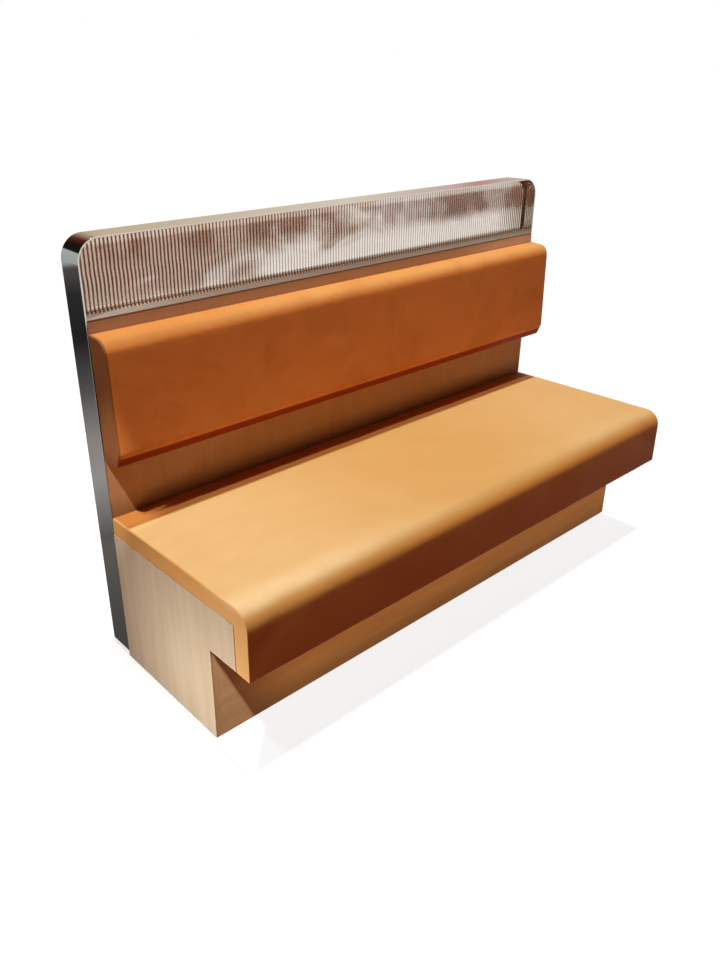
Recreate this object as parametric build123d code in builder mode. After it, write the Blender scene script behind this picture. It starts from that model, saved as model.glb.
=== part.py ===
from build123d import *
import os

# Restaurant booth bench: a leather seat over an oak plinth, and a leather back pad on an oak faced
# back, which a bright metal band frames round a screen of reeded glass.
# Millimetres. +Z is up, the front faces -Y, X runs along the bench, and the origin is on the floor
# under the middle of the bench.

# Overall sizes
bench_length = 1800.0
bench_height = 1192.0
seat_height = 460.0
back_depth = 90.0

# Metal band round the back, and the sill under the glass
band_wall = 4.0
band_corner_radius = 60.0
band_edge_radius = 1.0
screen_height = 186.0
sill_wall = 4.0

# Reeded glass and its gasket
glass_wall = 5.0
reed_pitch = 11.0
reed_rise = 2.5
glass_setback = 41.0
gasket_web = 2.0
gasket_cheek = 1.5
gasket_lip = 3.0
glass_gap = 0.3

# Wooden carcass of the back
back_board_wall = 18.0
rear_board_wall = 9.0
stile_width = 45.0
top_rail_height = 45.0
cushion_rail_height = 70.0
seat_rail_height = 70.0
bottom_rail_height = 70.0
seat_bolt_drop = 25.0
stud_bays = 3

# Wooden carcass of the seat
plinth_depth = 443.0
overhang = 107.0
notch_height = 277.0
panel_wall = 18.0
ply_wall = 18.0
rib_bays = 4
batten_size = 30.0
block_size = 60.0

# Seat pad: foam under leather, bent down over the front
pad_wall = 52.0
apron_wall = 54.0
apron_lip = 3.0
apron_crown = 3.0
pad_crown = 3.0
nose_radius = 50.0
pad_edge_radius = 6.0
pad_end_radius = 4.0
leather_wall = 1.6
cover_gap = 0.3

# Back pad
cushion_gap = 168.0
board_reveal = 35.0
cushion_wall = 85.0
cushion_rake = 7.0
cushion_fall = 4.0
cushion_crown = 2.0
cushion_nose_radius = 36.0
bevel_rise = 38.0
bevel_run = 15.0
bevel_edge_radius = 8.0
cushion_end_radius = 12.0
cushion_board_wall = 12.0
cushion_board_inset = 6.0
cushion_bolt_inset = 225.0

# Hardware
bolt_radius = 3.0
bolt_head_radius = 5.5
bolt_head_height = 6.0
nut_wall = 0.95
nut_flange_radius = 9.0
nut_flange_wall = 1.5
joint_bolt_radius = 4.0
joint_head_radius = 8.0
joint_head_height = 5.0
joint_insert_radius = 6.5
joint_insert_length = 20.0
joint_bolt_inset = 150.0
bolt_column_shares = (-0.5, -1 / 6, 1 / 6, 0.5)
screw_radius = 2.0
screw_head_radius = 4.2
screw_length = 45.0
screw_clearance = 0.05
deck_screw_row_shares = (-0.4, 0, 0.4)
angle_leg = 40.0
angle_width = 40.0
angle_wall = 4.0
angle_spacing_share = 1 / 3
angle_bolt_radius = 4.5
angle_screw_length = 14.0
angle_screw_spacing = 20.0
angle_screw_head_wall = 2.0

# Levelling glides
stem_radius = 5.0
stem_length = 80.0
stem_hex_width = 17.0
stem_hex_height = 6.0
stem_hex_gap = 1.0
block_gap = 3.0
stem_slot_width = 1.6
stem_slot_depth = 2.5
glide_radius = 20.0
glide_height = 10.0
glide_neck_radius = 10.0
glide_floor = 4.0
glide_edge_radius = 1.5
insert_radius = 8.0
insert_length = 25.0
running_gap = 0.05
block_bore_gap = 1.5

# One overrun for every cut
overrun = 5.0

# Places worked out from the sizes
half_length = bench_length / 2
bench_depth = back_depth + plinth_depth + overhang + apron_wall
rear_y = bench_depth / 2
back_y = rear_y - back_depth
plinth_y = back_y - plinth_depth
carcass_y = plinth_y - overhang
front_y = carcass_y - apron_wall
carcass_top = seat_height - pad_wall
deck_base = carcass_top - ply_wall
carcass_half = half_length - panel_wall
band_half = half_length - band_wall
screen_top = bench_height - band_wall
sill_height = screen_top - screen_height
back_top = sill_height - sill_wall
rail_front_y = back_y + back_board_wall
rail_rear_y = rear_y - rear_board_wall
rail_half = band_half - stile_width
plinth_inner_y = plinth_y + panel_wall
apron_inner_y = carcass_y + ply_wall
base_rear_y = back_y - ply_wall
soffit_top = notch_height + ply_wall
seat_rail_base = deck_base - seat_bolt_drop - seat_rail_height / 2
stud_spacing = bench_length / stud_bays
rib_spacing = bench_length / rib_bays
cushion_base = seat_height + cushion_gap
cushion_top = sill_height - board_reveal
cushion_height = cushion_top - cushion_base
cushion_middle = (cushion_base + cushion_top) / 2
cushion_rail_base = cushion_middle - cushion_rail_height / 2
top_rail_base = back_top - top_rail_height
glass_front_y = back_y + glass_setback
glass_face_y = glass_front_y + reed_rise
glass_rear_y = glass_face_y + glass_wall
glass_inset = gasket_web + glass_gap
nut_radius = bolt_radius + screw_clearance + nut_wall
stem_hex_base = glide_height + stem_hex_gap
block_base = stem_hex_base + stem_hex_height + block_gap

pieces = {}


def opening_outline(inset):
    """The opening that the band leaves over the sill, drawn in by inset on every side."""
    width = 2 * (band_half - inset)
    base = sill_height + inset
    height = screen_top - inset - base
    radius = band_corner_radius - band_wall - inset
    with BuildSketch(Plane.XZ) as outline:
        with Locations((0, base + height / 2)):
            Rectangle(width, height)
        fillet(outline.vertices().group_by(Axis.Y)[-1], radius)
    return outline.sketch


# Metal band: one folded strip, open at the floor, with its front edges eased
with BuildPart() as metal_band:
    with BuildSketch(Plane.XZ.offset(-rear_y)) as band_outline:
        with Locations((0, bench_height / 2)):
            Rectangle(bench_length, bench_height)
        fillet(band_outline.vertices().group_by(Axis.Y)[-1], band_corner_radius)
    extrude(amount=back_depth)
    with BuildSketch(Plane.XZ.offset(-rear_y - overrun)) as band_inside:
        with Locations((0, (screen_top - overrun) / 2)):
            Rectangle(2 * band_half, screen_top + overrun)
        fillet(band_inside.vertices().group_by(Axis.Y)[-1], band_corner_radius - band_wall)
    extrude(amount=back_depth + 2 * overrun, mode=Mode.SUBTRACT)
    front_edges = metal_band.faces().sort_by(Axis.Y)[0].edges()
    chamfer(front_edges.filter_by(lambda edge: edge.center().Z > 0), band_edge_radius)
pieces["metal_band"] = metal_band

# Sill under the glass
with BuildPart() as window_sill:
    with BuildSketch(Plane.XY.offset(back_top)):
        with Locations((0, (rear_y + back_y) / 2)):
            Rectangle(2 * band_half, back_depth)
    extrude(amount=sill_wall)
pieces["window_sill"] = window_sill

# Reeded glass: flat behind, half round reeds in front, cut to the opening's outline
with BuildPart() as reeded_glass:
    glass_half = band_half - glass_inset
    reed_count = round(2 * glass_half / reed_pitch)
    reed_width = 2 * glass_half / reed_count
    sheet_half = glass_half + reed_width
    with BuildSketch(Plane.XY.offset(sill_height - overrun)):
        with BuildLine():
            Polyline(
                (-sheet_half, glass_face_y),
                (-sheet_half, glass_rear_y),
                (sheet_half, glass_rear_y),
                (sheet_half, glass_face_y),
            )
            for reed in range(reed_count + 2):
                reed_start = -sheet_half + reed * reed_width
                ThreePointArc(
                    (reed_start, glass_face_y),
                    (reed_start + reed_width / 2, glass_front_y),
                    (reed_start + reed_width, glass_face_y),
                )
        make_face()
    extrude(amount=screen_top - sill_height + 2 * overrun)
    with BuildSketch(Plane.XZ.offset(-rear_y)):
        add(opening_outline(glass_inset))
    extrude(amount=back_depth, mode=Mode.INTERSECT)
pieces["reeded_glass"] = reeded_glass

# Gasket: a grooved strip all round the glass
with BuildPart() as glazing_gasket:
    groove_front_y = glass_front_y - glass_gap
    with BuildSketch(Plane.XZ.offset(-glass_rear_y - gasket_cheek)):
        add(opening_outline(0))
        add(opening_outline(gasket_web + gasket_lip), mode=Mode.SUBTRACT)
    extrude(amount=glass_rear_y - groove_front_y + 2 * gasket_cheek)
    with BuildSketch(Plane.XZ.offset(-glass_rear_y)):
        add(opening_outline(gasket_web))
    extrude(amount=glass_rear_y - groove_front_y, mode=Mode.SUBTRACT)
pieces["glazing_gasket"] = glazing_gasket

# Places of the bolts that carry the back pad and join the seat to the back
cushion_bolt_span = bench_length - 2 * cushion_bolt_inset
joint_bolt_span = bench_length - 2 * joint_bolt_inset
cushion_bolt_places = [(share * cushion_bolt_span, cushion_middle) for share in bolt_column_shares]
joint_bolt_places = [
    (share * joint_bolt_span, height)
    for share in bolt_column_shares
    for height in (bottom_rail_height / 2, deck_base - seat_bolt_drop)
]


def facing_rear(places, depth_y):
    """Locations at (x, z) places on the plane y = depth_y, with their own z pointing to the rear."""
    return Locations(*[Plane(origin=(x, depth_y, z), z_dir=(0, 1, 0)) for x, z in places])


def facing_front(places, depth_y):
    """Locations at (x, z) places on the plane y = depth_y, with their own z pointing to the front."""
    return Locations(*[Plane(origin=(x, depth_y, z), z_dir=(0, -1, 0)) for x, z in places])


# Oak faced front board of the back
with BuildPart() as back_front_board:
    with BuildSketch(Plane.XY):
        with Locations((0, back_y + back_board_wall / 2)):
            Rectangle(2 * band_half, back_board_wall)
    extrude(amount=back_top)
    with facing_front(cushion_bolt_places, back_y):
        Hole(bolt_radius + screw_clearance)
    with facing_front(joint_bolt_places, back_y):
        Hole(joint_bolt_radius + screw_clearance)
pieces["back_front_board"] = back_front_board

# Rear board of the back
with BuildPart() as back_rear_board:
    with BuildSketch(Plane.XY):
        with Locations((0, rear_y - rear_board_wall / 2)):
            Rectangle(2 * band_half, rear_board_wall)
    extrude(amount=back_top)
pieces["back_rear_board"] = back_rear_board

# Upright stiles at the two ends of the back
for side, side_name in ((-1, "left"), (1, "right")):
    with BuildPart() as back_stile:
        with BuildSketch(Plane.XY):
            with Locations((side * (band_half - stile_width / 2), (rail_front_y + rail_rear_y) / 2)):
                Rectangle(stile_width, rail_rear_y - rail_front_y)
        extrude(amount=back_top)
    pieces[f"back_stile_{side_name}"] = back_stile

# Rails between the stiles, from the floor up
rail_spans = {
    "bottom": (0, bottom_rail_height),
    "seat": (seat_rail_base, seat_rail_height),
    "cushion": (cushion_rail_base, cushion_rail_height),
    "top": (top_rail_base, top_rail_height),
}
for rail_name, (rail_base, rail_height) in rail_spans.items():
    with BuildPart() as back_rail:
        with BuildSketch(Plane.XY.offset(rail_base)):
            with Locations((0, (rail_front_y + rail_rear_y) / 2)):
                Rectangle(2 * rail_half, rail_rear_y - rail_front_y)
        extrude(amount=rail_height)
        if rail_name == "cushion":
            with facing_rear(cushion_bolt_places, rail_rear_y):
                CounterBoreHole(
                    bolt_radius + screw_clearance,
                    bolt_head_radius + screw_clearance,
                    bolt_head_height,
                )
        if rail_name in ("bottom", "seat"):
            with facing_front([place for place in joint_bolt_places
                               if rail_base < place[1] < rail_base + rail_height], rail_front_y):
                Hole(joint_insert_radius, joint_insert_length)
    pieces[f"back_{rail_name}_rail"] = back_rail

# Short studs that hold the rails apart
with BuildPart() as back_studs:
    stud_levels = [
        (bottom_rail_height, seat_rail_base),
        (seat_rail_base + seat_rail_height, cushion_rail_base),
        (cushion_rail_base + cushion_rail_height, top_rail_base),
    ]
    for stud_base, stud_top in stud_levels:
        with BuildSketch(Plane.XY.offset(stud_base)):
            with Locations((0, (rail_front_y + rail_rear_y) / 2)):
                with GridLocations(stud_spacing, 0, 2, 1):
                    Rectangle(stile_width, rail_rear_y - rail_front_y)
        extrude(amount=stud_top - stud_base)
pieces["back_studs"] = back_studs


def back_pad_body(inset, reach):
    """The back pad drawn in by inset, with its rear carried reach past the front of the back."""
    face_y = back_y - cushion_wall + inset
    top_z = cushion_top - inset
    base_z = cushion_base + inset
    rear_top = (back_y + reach, top_z)
    nose = (face_y + cushion_rake, top_z - cushion_fall)
    bevel_top = (face_y, base_z + bevel_rise)
    bevel_foot = (face_y + bevel_run, base_z)
    rear_base = (back_y + reach, base_z)
    middle = ((nose[0] + bevel_top[0]) / 2 - cushion_crown, (nose[1] + bevel_top[1]) / 2)
    with BuildPart() as body:
        with BuildSketch(Plane.YZ.offset(-half_length + inset)) as end:
            with BuildLine():
                Polyline(bevel_top, bevel_foot, rear_base, rear_top, nose)
                ThreePointArc(nose, middle, bevel_top)
            make_face()
            fillet(end.vertices().sort_by_distance(nose)[0], cushion_nose_radius - inset)
            fillet(end.vertices().sort_by_distance(bevel_top)[0], bevel_edge_radius - inset)
            fillet(end.vertices().sort_by_distance(bevel_foot)[0], bevel_edge_radius - inset)
        extrude(amount=bench_length - 2 * inset)
        ends = body.faces().filter_by(Axis.X)
        rounded = ends.edges().filter_by(lambda edge: edge.center().Y < back_y + reach - overrun)
        fillet(rounded, cushion_end_radius - inset)
    return body.part


# Leather cover of the back pad
with BuildPart() as back_cushion_cover:
    add(back_pad_body(0, 0))
    add(back_pad_body(leather_wall, overrun), mode=Mode.SUBTRACT)
pieces["back_cushion_cover"] = back_cushion_cover

# Board at the rear of the back pad
with BuildPart() as back_cushion_board:
    board_half = half_length - cushion_board_inset
    with BuildSketch(Plane.XY.offset(cushion_base + cushion_board_inset)):
        with Locations((0, back_y - cushion_board_wall / 2)):
            Rectangle(2 * board_half, cushion_board_wall)
    extrude(amount=cushion_height - 2 * cushion_board_inset)
    with facing_front(cushion_bolt_places, back_y - cushion_board_wall):
        CounterBoreHole(nut_radius, nut_flange_radius, nut_flange_wall)
pieces["back_cushion_board"] = back_cushion_board

# Foam of the back pad, wrapped round the edges of its board
with BuildPart() as back_cushion_foam:
    add(back_pad_body(leather_wall + cover_gap, 0))
    with BuildSketch(Plane.XY.offset(cushion_base + cushion_board_inset)):
        with Locations((0, back_y - (cushion_board_wall - overrun) / 2)):
            Rectangle(2 * board_half, cushion_board_wall + overrun)
    extrude(amount=cushion_height - 2 * cushion_board_inset, mode=Mode.SUBTRACT)
pieces["back_cushion_foam"] = back_cushion_foam

# Bolts that hold the back pad, from inside the back
with BuildPart() as cushion_bolts:
    bolt_length = rail_rear_y - bolt_head_height - back_y + cushion_board_wall - nut_flange_wall
    for bolt_x, bolt_z in cushion_bolt_places:
        head_plane = Plane(origin=(bolt_x, rail_rear_y, bolt_z), z_dir=(0, -1, 0))
        with BuildSketch(head_plane):
            Circle(bolt_head_radius)
        extrude(amount=bolt_head_height)
        with BuildSketch(head_plane.offset(bolt_head_height)):
            Circle(bolt_radius)
        extrude(amount=bolt_length)
        with BuildSketch(head_plane):
            RegularPolygon(bolt_radius, 6)
        extrude(amount=bolt_head_height / 2, mode=Mode.SUBTRACT)
pieces["cushion_bolts"] = cushion_bolts

# Tee nuts in the board of the back pad
with BuildPart() as cushion_tee_nuts:
    for bolt_x, bolt_z in cushion_bolt_places:
        nut_plane = Plane(origin=(bolt_x, back_y - cushion_board_wall, bolt_z), z_dir=(0, 1, 0))
        with BuildSketch(nut_plane):
            Circle(nut_flange_radius)
        extrude(amount=nut_flange_wall)
        with BuildSketch(nut_plane):
            Circle(nut_radius)
        extrude(amount=cushion_board_wall)
        with BuildSketch(nut_plane):
            Circle(bolt_radius + screw_clearance)
        extrude(amount=cushion_board_wall, mode=Mode.SUBTRACT)
pieces["cushion_tee_nuts"] = cushion_tee_nuts

# End panels: oak, notched over the toe space
for side, side_name in ((-1, "left"), (1, "right")):
    outer_x = -half_length if side < 0 else carcass_half
    with BuildPart() as end_panel:
        with BuildSketch(Plane.YZ.offset(outer_x)):
            with BuildLine():
                Polyline(
                    (back_y, 0),
                    (plinth_y, 0),
                    (plinth_y, notch_height),
                    (carcass_y, notch_height),
                    (carcass_y, carcass_top),
                    (back_y, carcass_top),
                    close=True,
                )
            make_face()
        extrude(amount=panel_wall)
    pieces[f"end_panel_{side_name}"] = end_panel

# Places of the floor angles and of the screws in their upright legs
angle_spacing = angle_spacing_share * bench_length
angle_places_x = (-angle_spacing / 2, angle_spacing / 2)
angle_screw_places = [
    (angle_x + shift, angle_leg / 2 + angle_wall / 2)
    for angle_x in angle_places_x
    for shift in (-angle_screw_spacing / 2, angle_screw_spacing / 2)
]

# Oak front board of the plinth
with BuildPart() as plinth_front_board:
    with BuildSketch(Plane.XY):
        with Locations((0, plinth_y + panel_wall / 2)):
            Rectangle(2 * carcass_half, panel_wall)
    extrude(amount=deck_base)
    with facing_rear(angle_screw_places, plinth_inner_y):
        Hole(screw_radius + screw_clearance, angle_screw_length)
pieces["plinth_front_board"] = plinth_front_board

# Rear board of the seat carcass, bolted to the back
with BuildPart() as base_rear_board:
    with BuildSketch(Plane.XY):
        with Locations((0, back_y - ply_wall / 2)):
            Rectangle(2 * carcass_half, ply_wall)
    extrude(amount=deck_base)
    with facing_front(angle_screw_places, base_rear_y):
        Hole(screw_radius + screw_clearance, angle_screw_length)
    with facing_front(joint_bolt_places, base_rear_y):
        Hole(joint_bolt_radius + screw_clearance)
pieces["base_rear_board"] = base_rear_board

# Oak soffit under the overhang
with BuildPart() as soffit_board:
    with BuildSketch(Plane.XY.offset(notch_height)):
        with Locations((0, (plinth_y + apron_inner_y) / 2)):
            Rectangle(2 * carcass_half, plinth_y - apron_inner_y)
    extrude(amount=ply_wall)
pieces["soffit_board"] = soffit_board

# Board behind the leather apron
with BuildPart() as apron_board:
    with BuildSketch(Plane.XY.offset(notch_height)):
        with Locations((0, carcass_y + ply_wall / 2)):
            Rectangle(2 * carcass_half, ply_wall)
    extrude(amount=deck_base - notch_height)
pieces["apron_board"] = apron_board

# Screws from the deck down into the ribs
rib_depth = base_rear_y - plinth_inner_y
rib_middle_y = (plinth_inner_y + base_rear_y) / 2
deck_screw_places = [
    (column * rib_spacing, rib_middle_y + share * rib_depth)
    for column in (-1, 0, 1)
    for share in deck_screw_row_shares
]

# Seat deck
with BuildPart() as seat_deck:
    with BuildSketch(Plane.XY.offset(deck_base)):
        with Locations((0, (back_y + carcass_y) / 2)):
            Rectangle(2 * carcass_half, back_y - carcass_y)
    extrude(amount=ply_wall)
    with Locations(*[(x, y, carcass_top) for x, y in deck_screw_places]):
        CounterSinkHole(screw_radius + screw_clearance, screw_head_radius)
pieces["seat_deck"] = seat_deck

# Ribs across the seat carcass
for column, rib_name in ((-1, "left"), (0, "centre"), (1, "right")):
    with BuildPart() as inner_rib:
        with BuildSketch(Plane.XY):
            with Locations((column * rib_spacing, rib_middle_y)):
                Rectangle(ply_wall, rib_depth)
        extrude(amount=deck_base)
        with Locations(*[(x, y, deck_base) for x, y in deck_screw_places
                         if x == column * rib_spacing]):
            Hole(screw_radius + screw_clearance, screw_length - ply_wall)
    pieces[f"inner_rib_{rib_name}"] = inner_rib

# Deck screws with countersunk heads
with BuildPart() as deck_screws:
    with Locations(*[(x, y, carcass_top) for x, y in deck_screw_places]):
        Cone(
            screw_radius,
            screw_head_radius - screw_clearance,
            screw_head_radius - screw_radius - screw_clearance,
            align=(Align.CENTER, Align.CENTER, Align.MAX),
        )
        Cylinder(screw_radius, screw_length, align=(Align.CENTER, Align.CENTER, Align.MAX))
pieces["deck_screws"] = deck_screws

# Brackets that carry the overhang, in line with the ribs
with BuildPart() as overhang_brackets:
    with BuildSketch(Plane.XY.offset(soffit_top)):
        with Locations((0, (plinth_y + apron_inner_y) / 2)):
            with GridLocations(rib_spacing, 0, 3, 1):
                Rectangle(ply_wall, plinth_y - apron_inner_y)
    extrude(amount=deck_base - soffit_top)
pieces["overhang_brackets"] = overhang_brackets

# Battens that hold the deck to the end panels
with BuildPart() as end_battens:
    with BuildSketch(Plane.XY.offset(deck_base - batten_size)):
        with Locations((0, rib_middle_y)):
            with GridLocations(2 * carcass_half - batten_size, 0, 2, 1):
                Rectangle(batten_size, rib_depth)
    extrude(amount=batten_size)
pieces["end_battens"] = end_battens


def seat_pad_body(inset, reach):
    """The seat pad drawn in by inset on its open sides, and carried reach into the wood."""
    rear_edge_y = back_y - cover_gap - inset
    face_y = front_y + inset
    top_z = seat_height - pad_crown - inset
    foot_z = notch_height - apron_lip + inset
    wood_y = carcass_y + reach
    wood_z = carcass_top - reach
    rear_top = (rear_edge_y, top_z)
    nose = (face_y + apron_crown, top_z)
    foot = (face_y + apron_crown, foot_z)
    top_middle = ((rear_edge_y + face_y) / 2, top_z + pad_crown)
    face_middle = (face_y, (top_z + foot_z) / 2)
    with BuildPart() as body:
        with BuildSketch(Plane.YZ.offset(-half_length + inset)) as end:
            with BuildLine():
                Polyline(foot, (wood_y, foot_z), (wood_y, wood_z), (rear_edge_y, wood_z), rear_top)
                ThreePointArc(rear_top, top_middle, nose)
                ThreePointArc(nose, face_middle, foot)
            make_face()
            fillet(end.vertices().sort_by_distance(nose)[0], nose_radius - inset)
            fillet(end.vertices().sort_by_distance(foot)[0], pad_edge_radius - inset)
            fillet(end.vertices().sort_by_distance(rear_top)[0], pad_edge_radius - inset)
        extrude(amount=bench_length - 2 * inset)
        ends = body.faces().filter_by(Axis.X)
        above = ends.edges().filter_by(lambda edge: edge.center().Z > carcass_top + pad_edge_radius)
        ahead = ends.edges().filter_by(lambda edge: edge.center().Y < carcass_y - pad_edge_radius)
        fillet(ShapeList(set(above) | set(ahead)), pad_end_radius - inset)
    return body.part


# Leather cover of the seat
with BuildPart() as seat_cover:
    add(seat_pad_body(0, 0))
    add(seat_pad_body(leather_wall, overrun), mode=Mode.SUBTRACT)
pieces["seat_cover"] = seat_cover

# Foam of the seat
with BuildPart() as seat_foam:
    add(seat_pad_body(leather_wall + cover_gap, 0))
pieces["seat_foam"] = seat_foam

# Blocks in the four lower corners of the plinth, which hold the glides
corners = {
    "front_left": (-1, plinth_inner_y + block_size / 2),
    "front_right": (1, plinth_inner_y + block_size / 2),
    "rear_left": (-1, base_rear_y - block_size / 2),
    "rear_right": (1, base_rear_y - block_size / 2),
}
glide_places = {
    corner: (side * (carcass_half - block_size / 2), corner_y)
    for corner, (side, corner_y) in corners.items()
}
with BuildPart() as corner_blocks:
    with BuildSketch(Plane.XY.offset(block_base)):
        with Locations(*glide_places.values()):
            Rectangle(block_size, block_size)
            Circle(stem_radius + block_bore_gap, mode=Mode.SUBTRACT)
    extrude(amount=block_size)
    with BuildSketch(Plane.XY.offset(block_base)):
        with Locations(*glide_places.values()):
            Circle(insert_radius)
    extrude(amount=insert_length, mode=Mode.SUBTRACT)
pieces["corner_blocks"] = corner_blocks

# Threaded inserts in the blocks
with BuildPart() as glide_inserts:
    with BuildSketch(Plane.XY.offset(block_base)):
        with Locations(*glide_places.values()):
            Circle(insert_radius)
            Circle(stem_radius + running_gap, mode=Mode.SUBTRACT)
    extrude(amount=insert_length)
pieces["glide_inserts"] = glide_inserts

# Levelling glides: a pad on the floor, and a threaded stem that turns in it
for corner, place in glide_places.items():
    with BuildPart() as glide_pad:
        with BuildSketch(Plane.XY):
            with Locations(place):
                Circle(glide_radius)
        extrude(amount=glide_floor)
        with BuildSketch(Plane.XY):
            with Locations(place):
                Circle(glide_neck_radius)
        extrude(amount=glide_height)
        fillet(glide_pad.faces().sort_by(Axis.Z)[0].edges(), glide_edge_radius)
        with BuildSketch(Plane.XY.offset(glide_floor)):
            with Locations(place):
                Circle(stem_radius + running_gap)
        extrude(amount=glide_height, mode=Mode.SUBTRACT)
    pieces[f"glide_pad_{corner}"] = glide_pad

    with BuildPart() as glide_stem:
        with BuildSketch(Plane.XY.offset(glide_floor)):
            with Locations(place):
                Circle(stem_radius)
        extrude(amount=stem_length)
        with BuildSketch(Plane.XY.offset(stem_hex_base)):
            with Locations(place):
                RegularPolygon(stem_hex_width / 2, 6, major_radius=False)
        extrude(amount=stem_hex_height)
        with BuildSketch(Plane.XY.offset(glide_floor + stem_length)):
            with Locations(place):
                Rectangle(2 * stem_radius + overrun, stem_slot_width)
        extrude(amount=-stem_slot_depth, mode=Mode.SUBTRACT)
    pieces[f"glide_stem_{corner}"] = glide_stem

# Steel angles that bolt the plinth to the floor
with BuildPart() as floor_angles:
    for angle_x in angle_places_x:
        for face_y, direction in ((plinth_inner_y, 1), (base_rear_y, -1)):
            leg_y = face_y + direction * angle_wall
            toe_y = face_y + direction * angle_leg
            with BuildSketch(Plane.YZ.offset(angle_x - angle_width / 2)):
                with BuildLine():
                    Polyline(
                        (face_y, 0),
                        (toe_y, 0),
                        (toe_y, angle_wall),
                        (leg_y, angle_wall),
                        (leg_y, angle_leg),
                        (face_y, angle_leg),
                        close=True,
                    )
                make_face()
            extrude(amount=angle_width)
            with Locations((angle_x, (leg_y + toe_y) / 2, angle_wall)):
                Hole(angle_bolt_radius, angle_wall + overrun)
    with facing_rear(angle_screw_places, plinth_inner_y):
        Hole(screw_radius + screw_clearance, angle_wall + overrun)
    with facing_front(angle_screw_places, base_rear_y):
        Hole(screw_radius + screw_clearance, angle_wall + overrun)
pieces["floor_angles"] = floor_angles

# Screws of the floor angles
with BuildPart() as angle_screws:
    for screw_x, screw_z in angle_screw_places:
        for face_y, direction in ((plinth_inner_y, 1), (base_rear_y, -1)):
            head_plane = Plane(
                origin=(screw_x, face_y + direction * angle_wall, screw_z),
                z_dir=(0, direction, 0),
            )
            with BuildSketch(head_plane):
                Circle(screw_head_radius)
            extrude(amount=angle_screw_head_wall)
            with BuildSketch(head_plane):
                Circle(screw_radius)
            extrude(amount=-angle_screw_length)
pieces["angle_screws"] = angle_screws

# Bolts that join the seat carcass to the back
with BuildPart() as joining_bolts:
    for bolt_x, bolt_z in joint_bolt_places:
        head_plane = Plane(origin=(bolt_x, base_rear_y, bolt_z), z_dir=(0, -1, 0))
        with BuildSketch(head_plane):
            RegularPolygon(joint_head_radius, 6)
        extrude(amount=joint_head_height)
        with BuildSketch(head_plane):
            Circle(joint_bolt_radius)
        extrude(amount=-(ply_wall + back_board_wall + joint_insert_length))
pieces["joining_bolts"] = joining_bolts

# Threaded inserts for those bolts, in the rails of the back
with BuildPart() as joining_inserts:
    for bolt_x, bolt_z in joint_bolt_places:
        with BuildSketch(Plane(origin=(bolt_x, rail_front_y, bolt_z), z_dir=(0, 1, 0))):
            Circle(joint_insert_radius)
            Circle(joint_bolt_radius + screw_clearance, mode=Mode.SUBTRACT)
        extrude(amount=joint_insert_length)
pieces["joining_inserts"] = joining_inserts

# Every piece gets its label and its own file
os.makedirs("parts", exist_ok=True)
for name, piece in pieces.items():
    piece.part.label = name
    export_step(piece.part, f"parts/{name}.step")
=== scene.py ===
import math

import bmesh
import bpy
from mathutils import Matrix, Vector, noise


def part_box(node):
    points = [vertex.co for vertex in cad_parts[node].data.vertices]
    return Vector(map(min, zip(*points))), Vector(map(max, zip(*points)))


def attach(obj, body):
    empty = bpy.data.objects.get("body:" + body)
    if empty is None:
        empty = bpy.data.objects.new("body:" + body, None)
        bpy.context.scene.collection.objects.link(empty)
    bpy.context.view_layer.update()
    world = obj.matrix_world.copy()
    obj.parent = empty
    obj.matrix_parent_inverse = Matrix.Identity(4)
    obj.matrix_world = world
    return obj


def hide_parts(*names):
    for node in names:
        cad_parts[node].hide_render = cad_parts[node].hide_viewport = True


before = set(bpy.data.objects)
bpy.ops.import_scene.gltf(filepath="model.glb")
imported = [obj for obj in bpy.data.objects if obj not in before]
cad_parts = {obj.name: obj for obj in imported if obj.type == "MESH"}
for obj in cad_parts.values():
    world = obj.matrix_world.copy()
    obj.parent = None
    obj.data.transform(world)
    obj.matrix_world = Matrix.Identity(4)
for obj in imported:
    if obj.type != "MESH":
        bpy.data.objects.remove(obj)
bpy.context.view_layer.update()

# Restaurant booth bench: leather pads, oak panels, and a mirror bright band round reeded glass.
# Metres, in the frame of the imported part: +Z is up, and the front faces -Y.

bl_info = {
    "name": "Booth bench",
    "version": (1, 0, 0),
    "blender": (4, 5, 0),
    "location": "3D View > Sidebar > Booth bench",
    "description": "Dresses a restaurant booth bench in leather, oak, steel and reeded glass",
    "category": "Add Mesh",
}

ROOT = "root"
MM = 0.001
MERGE_DISTANCE = 0.01 * MM

BAND_LOW, BAND_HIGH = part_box("metal_band")
SILL_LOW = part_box("window_sill")[0]
GLASS_LOW, GLASS_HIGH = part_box("reeded_glass")
PLINTH_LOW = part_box("plinth_front_board")[0]
END_LOW, END_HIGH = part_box("end_panel_left")
SEAT_LOW, SEAT_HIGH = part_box("seat_cover")
PAD_LOW, PAD_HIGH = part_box("back_cushion_cover")
REAR_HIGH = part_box("back_rear_board")[1]


# Sizes and colours that a user would change

def length_prop(name, description, default, least=0.0):
    """A length that the sidebar shows."""
    return bpy.props.FloatProperty(
        name=name, description=description, default=default, min=least, unit="LENGTH")


def count_prop(name, description, default):
    """A number of like things that the sidebar shows."""
    return bpy.props.IntProperty(name=name, description=description, default=default, min=2)


def colour_prop(name, description, default):
    """A colour that the sidebar shows, in linear values."""
    return bpy.props.FloatVectorProperty(
        name=name, description=description, default=default, size=3,
        min=0, max=1, subtype="COLOR")


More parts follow.
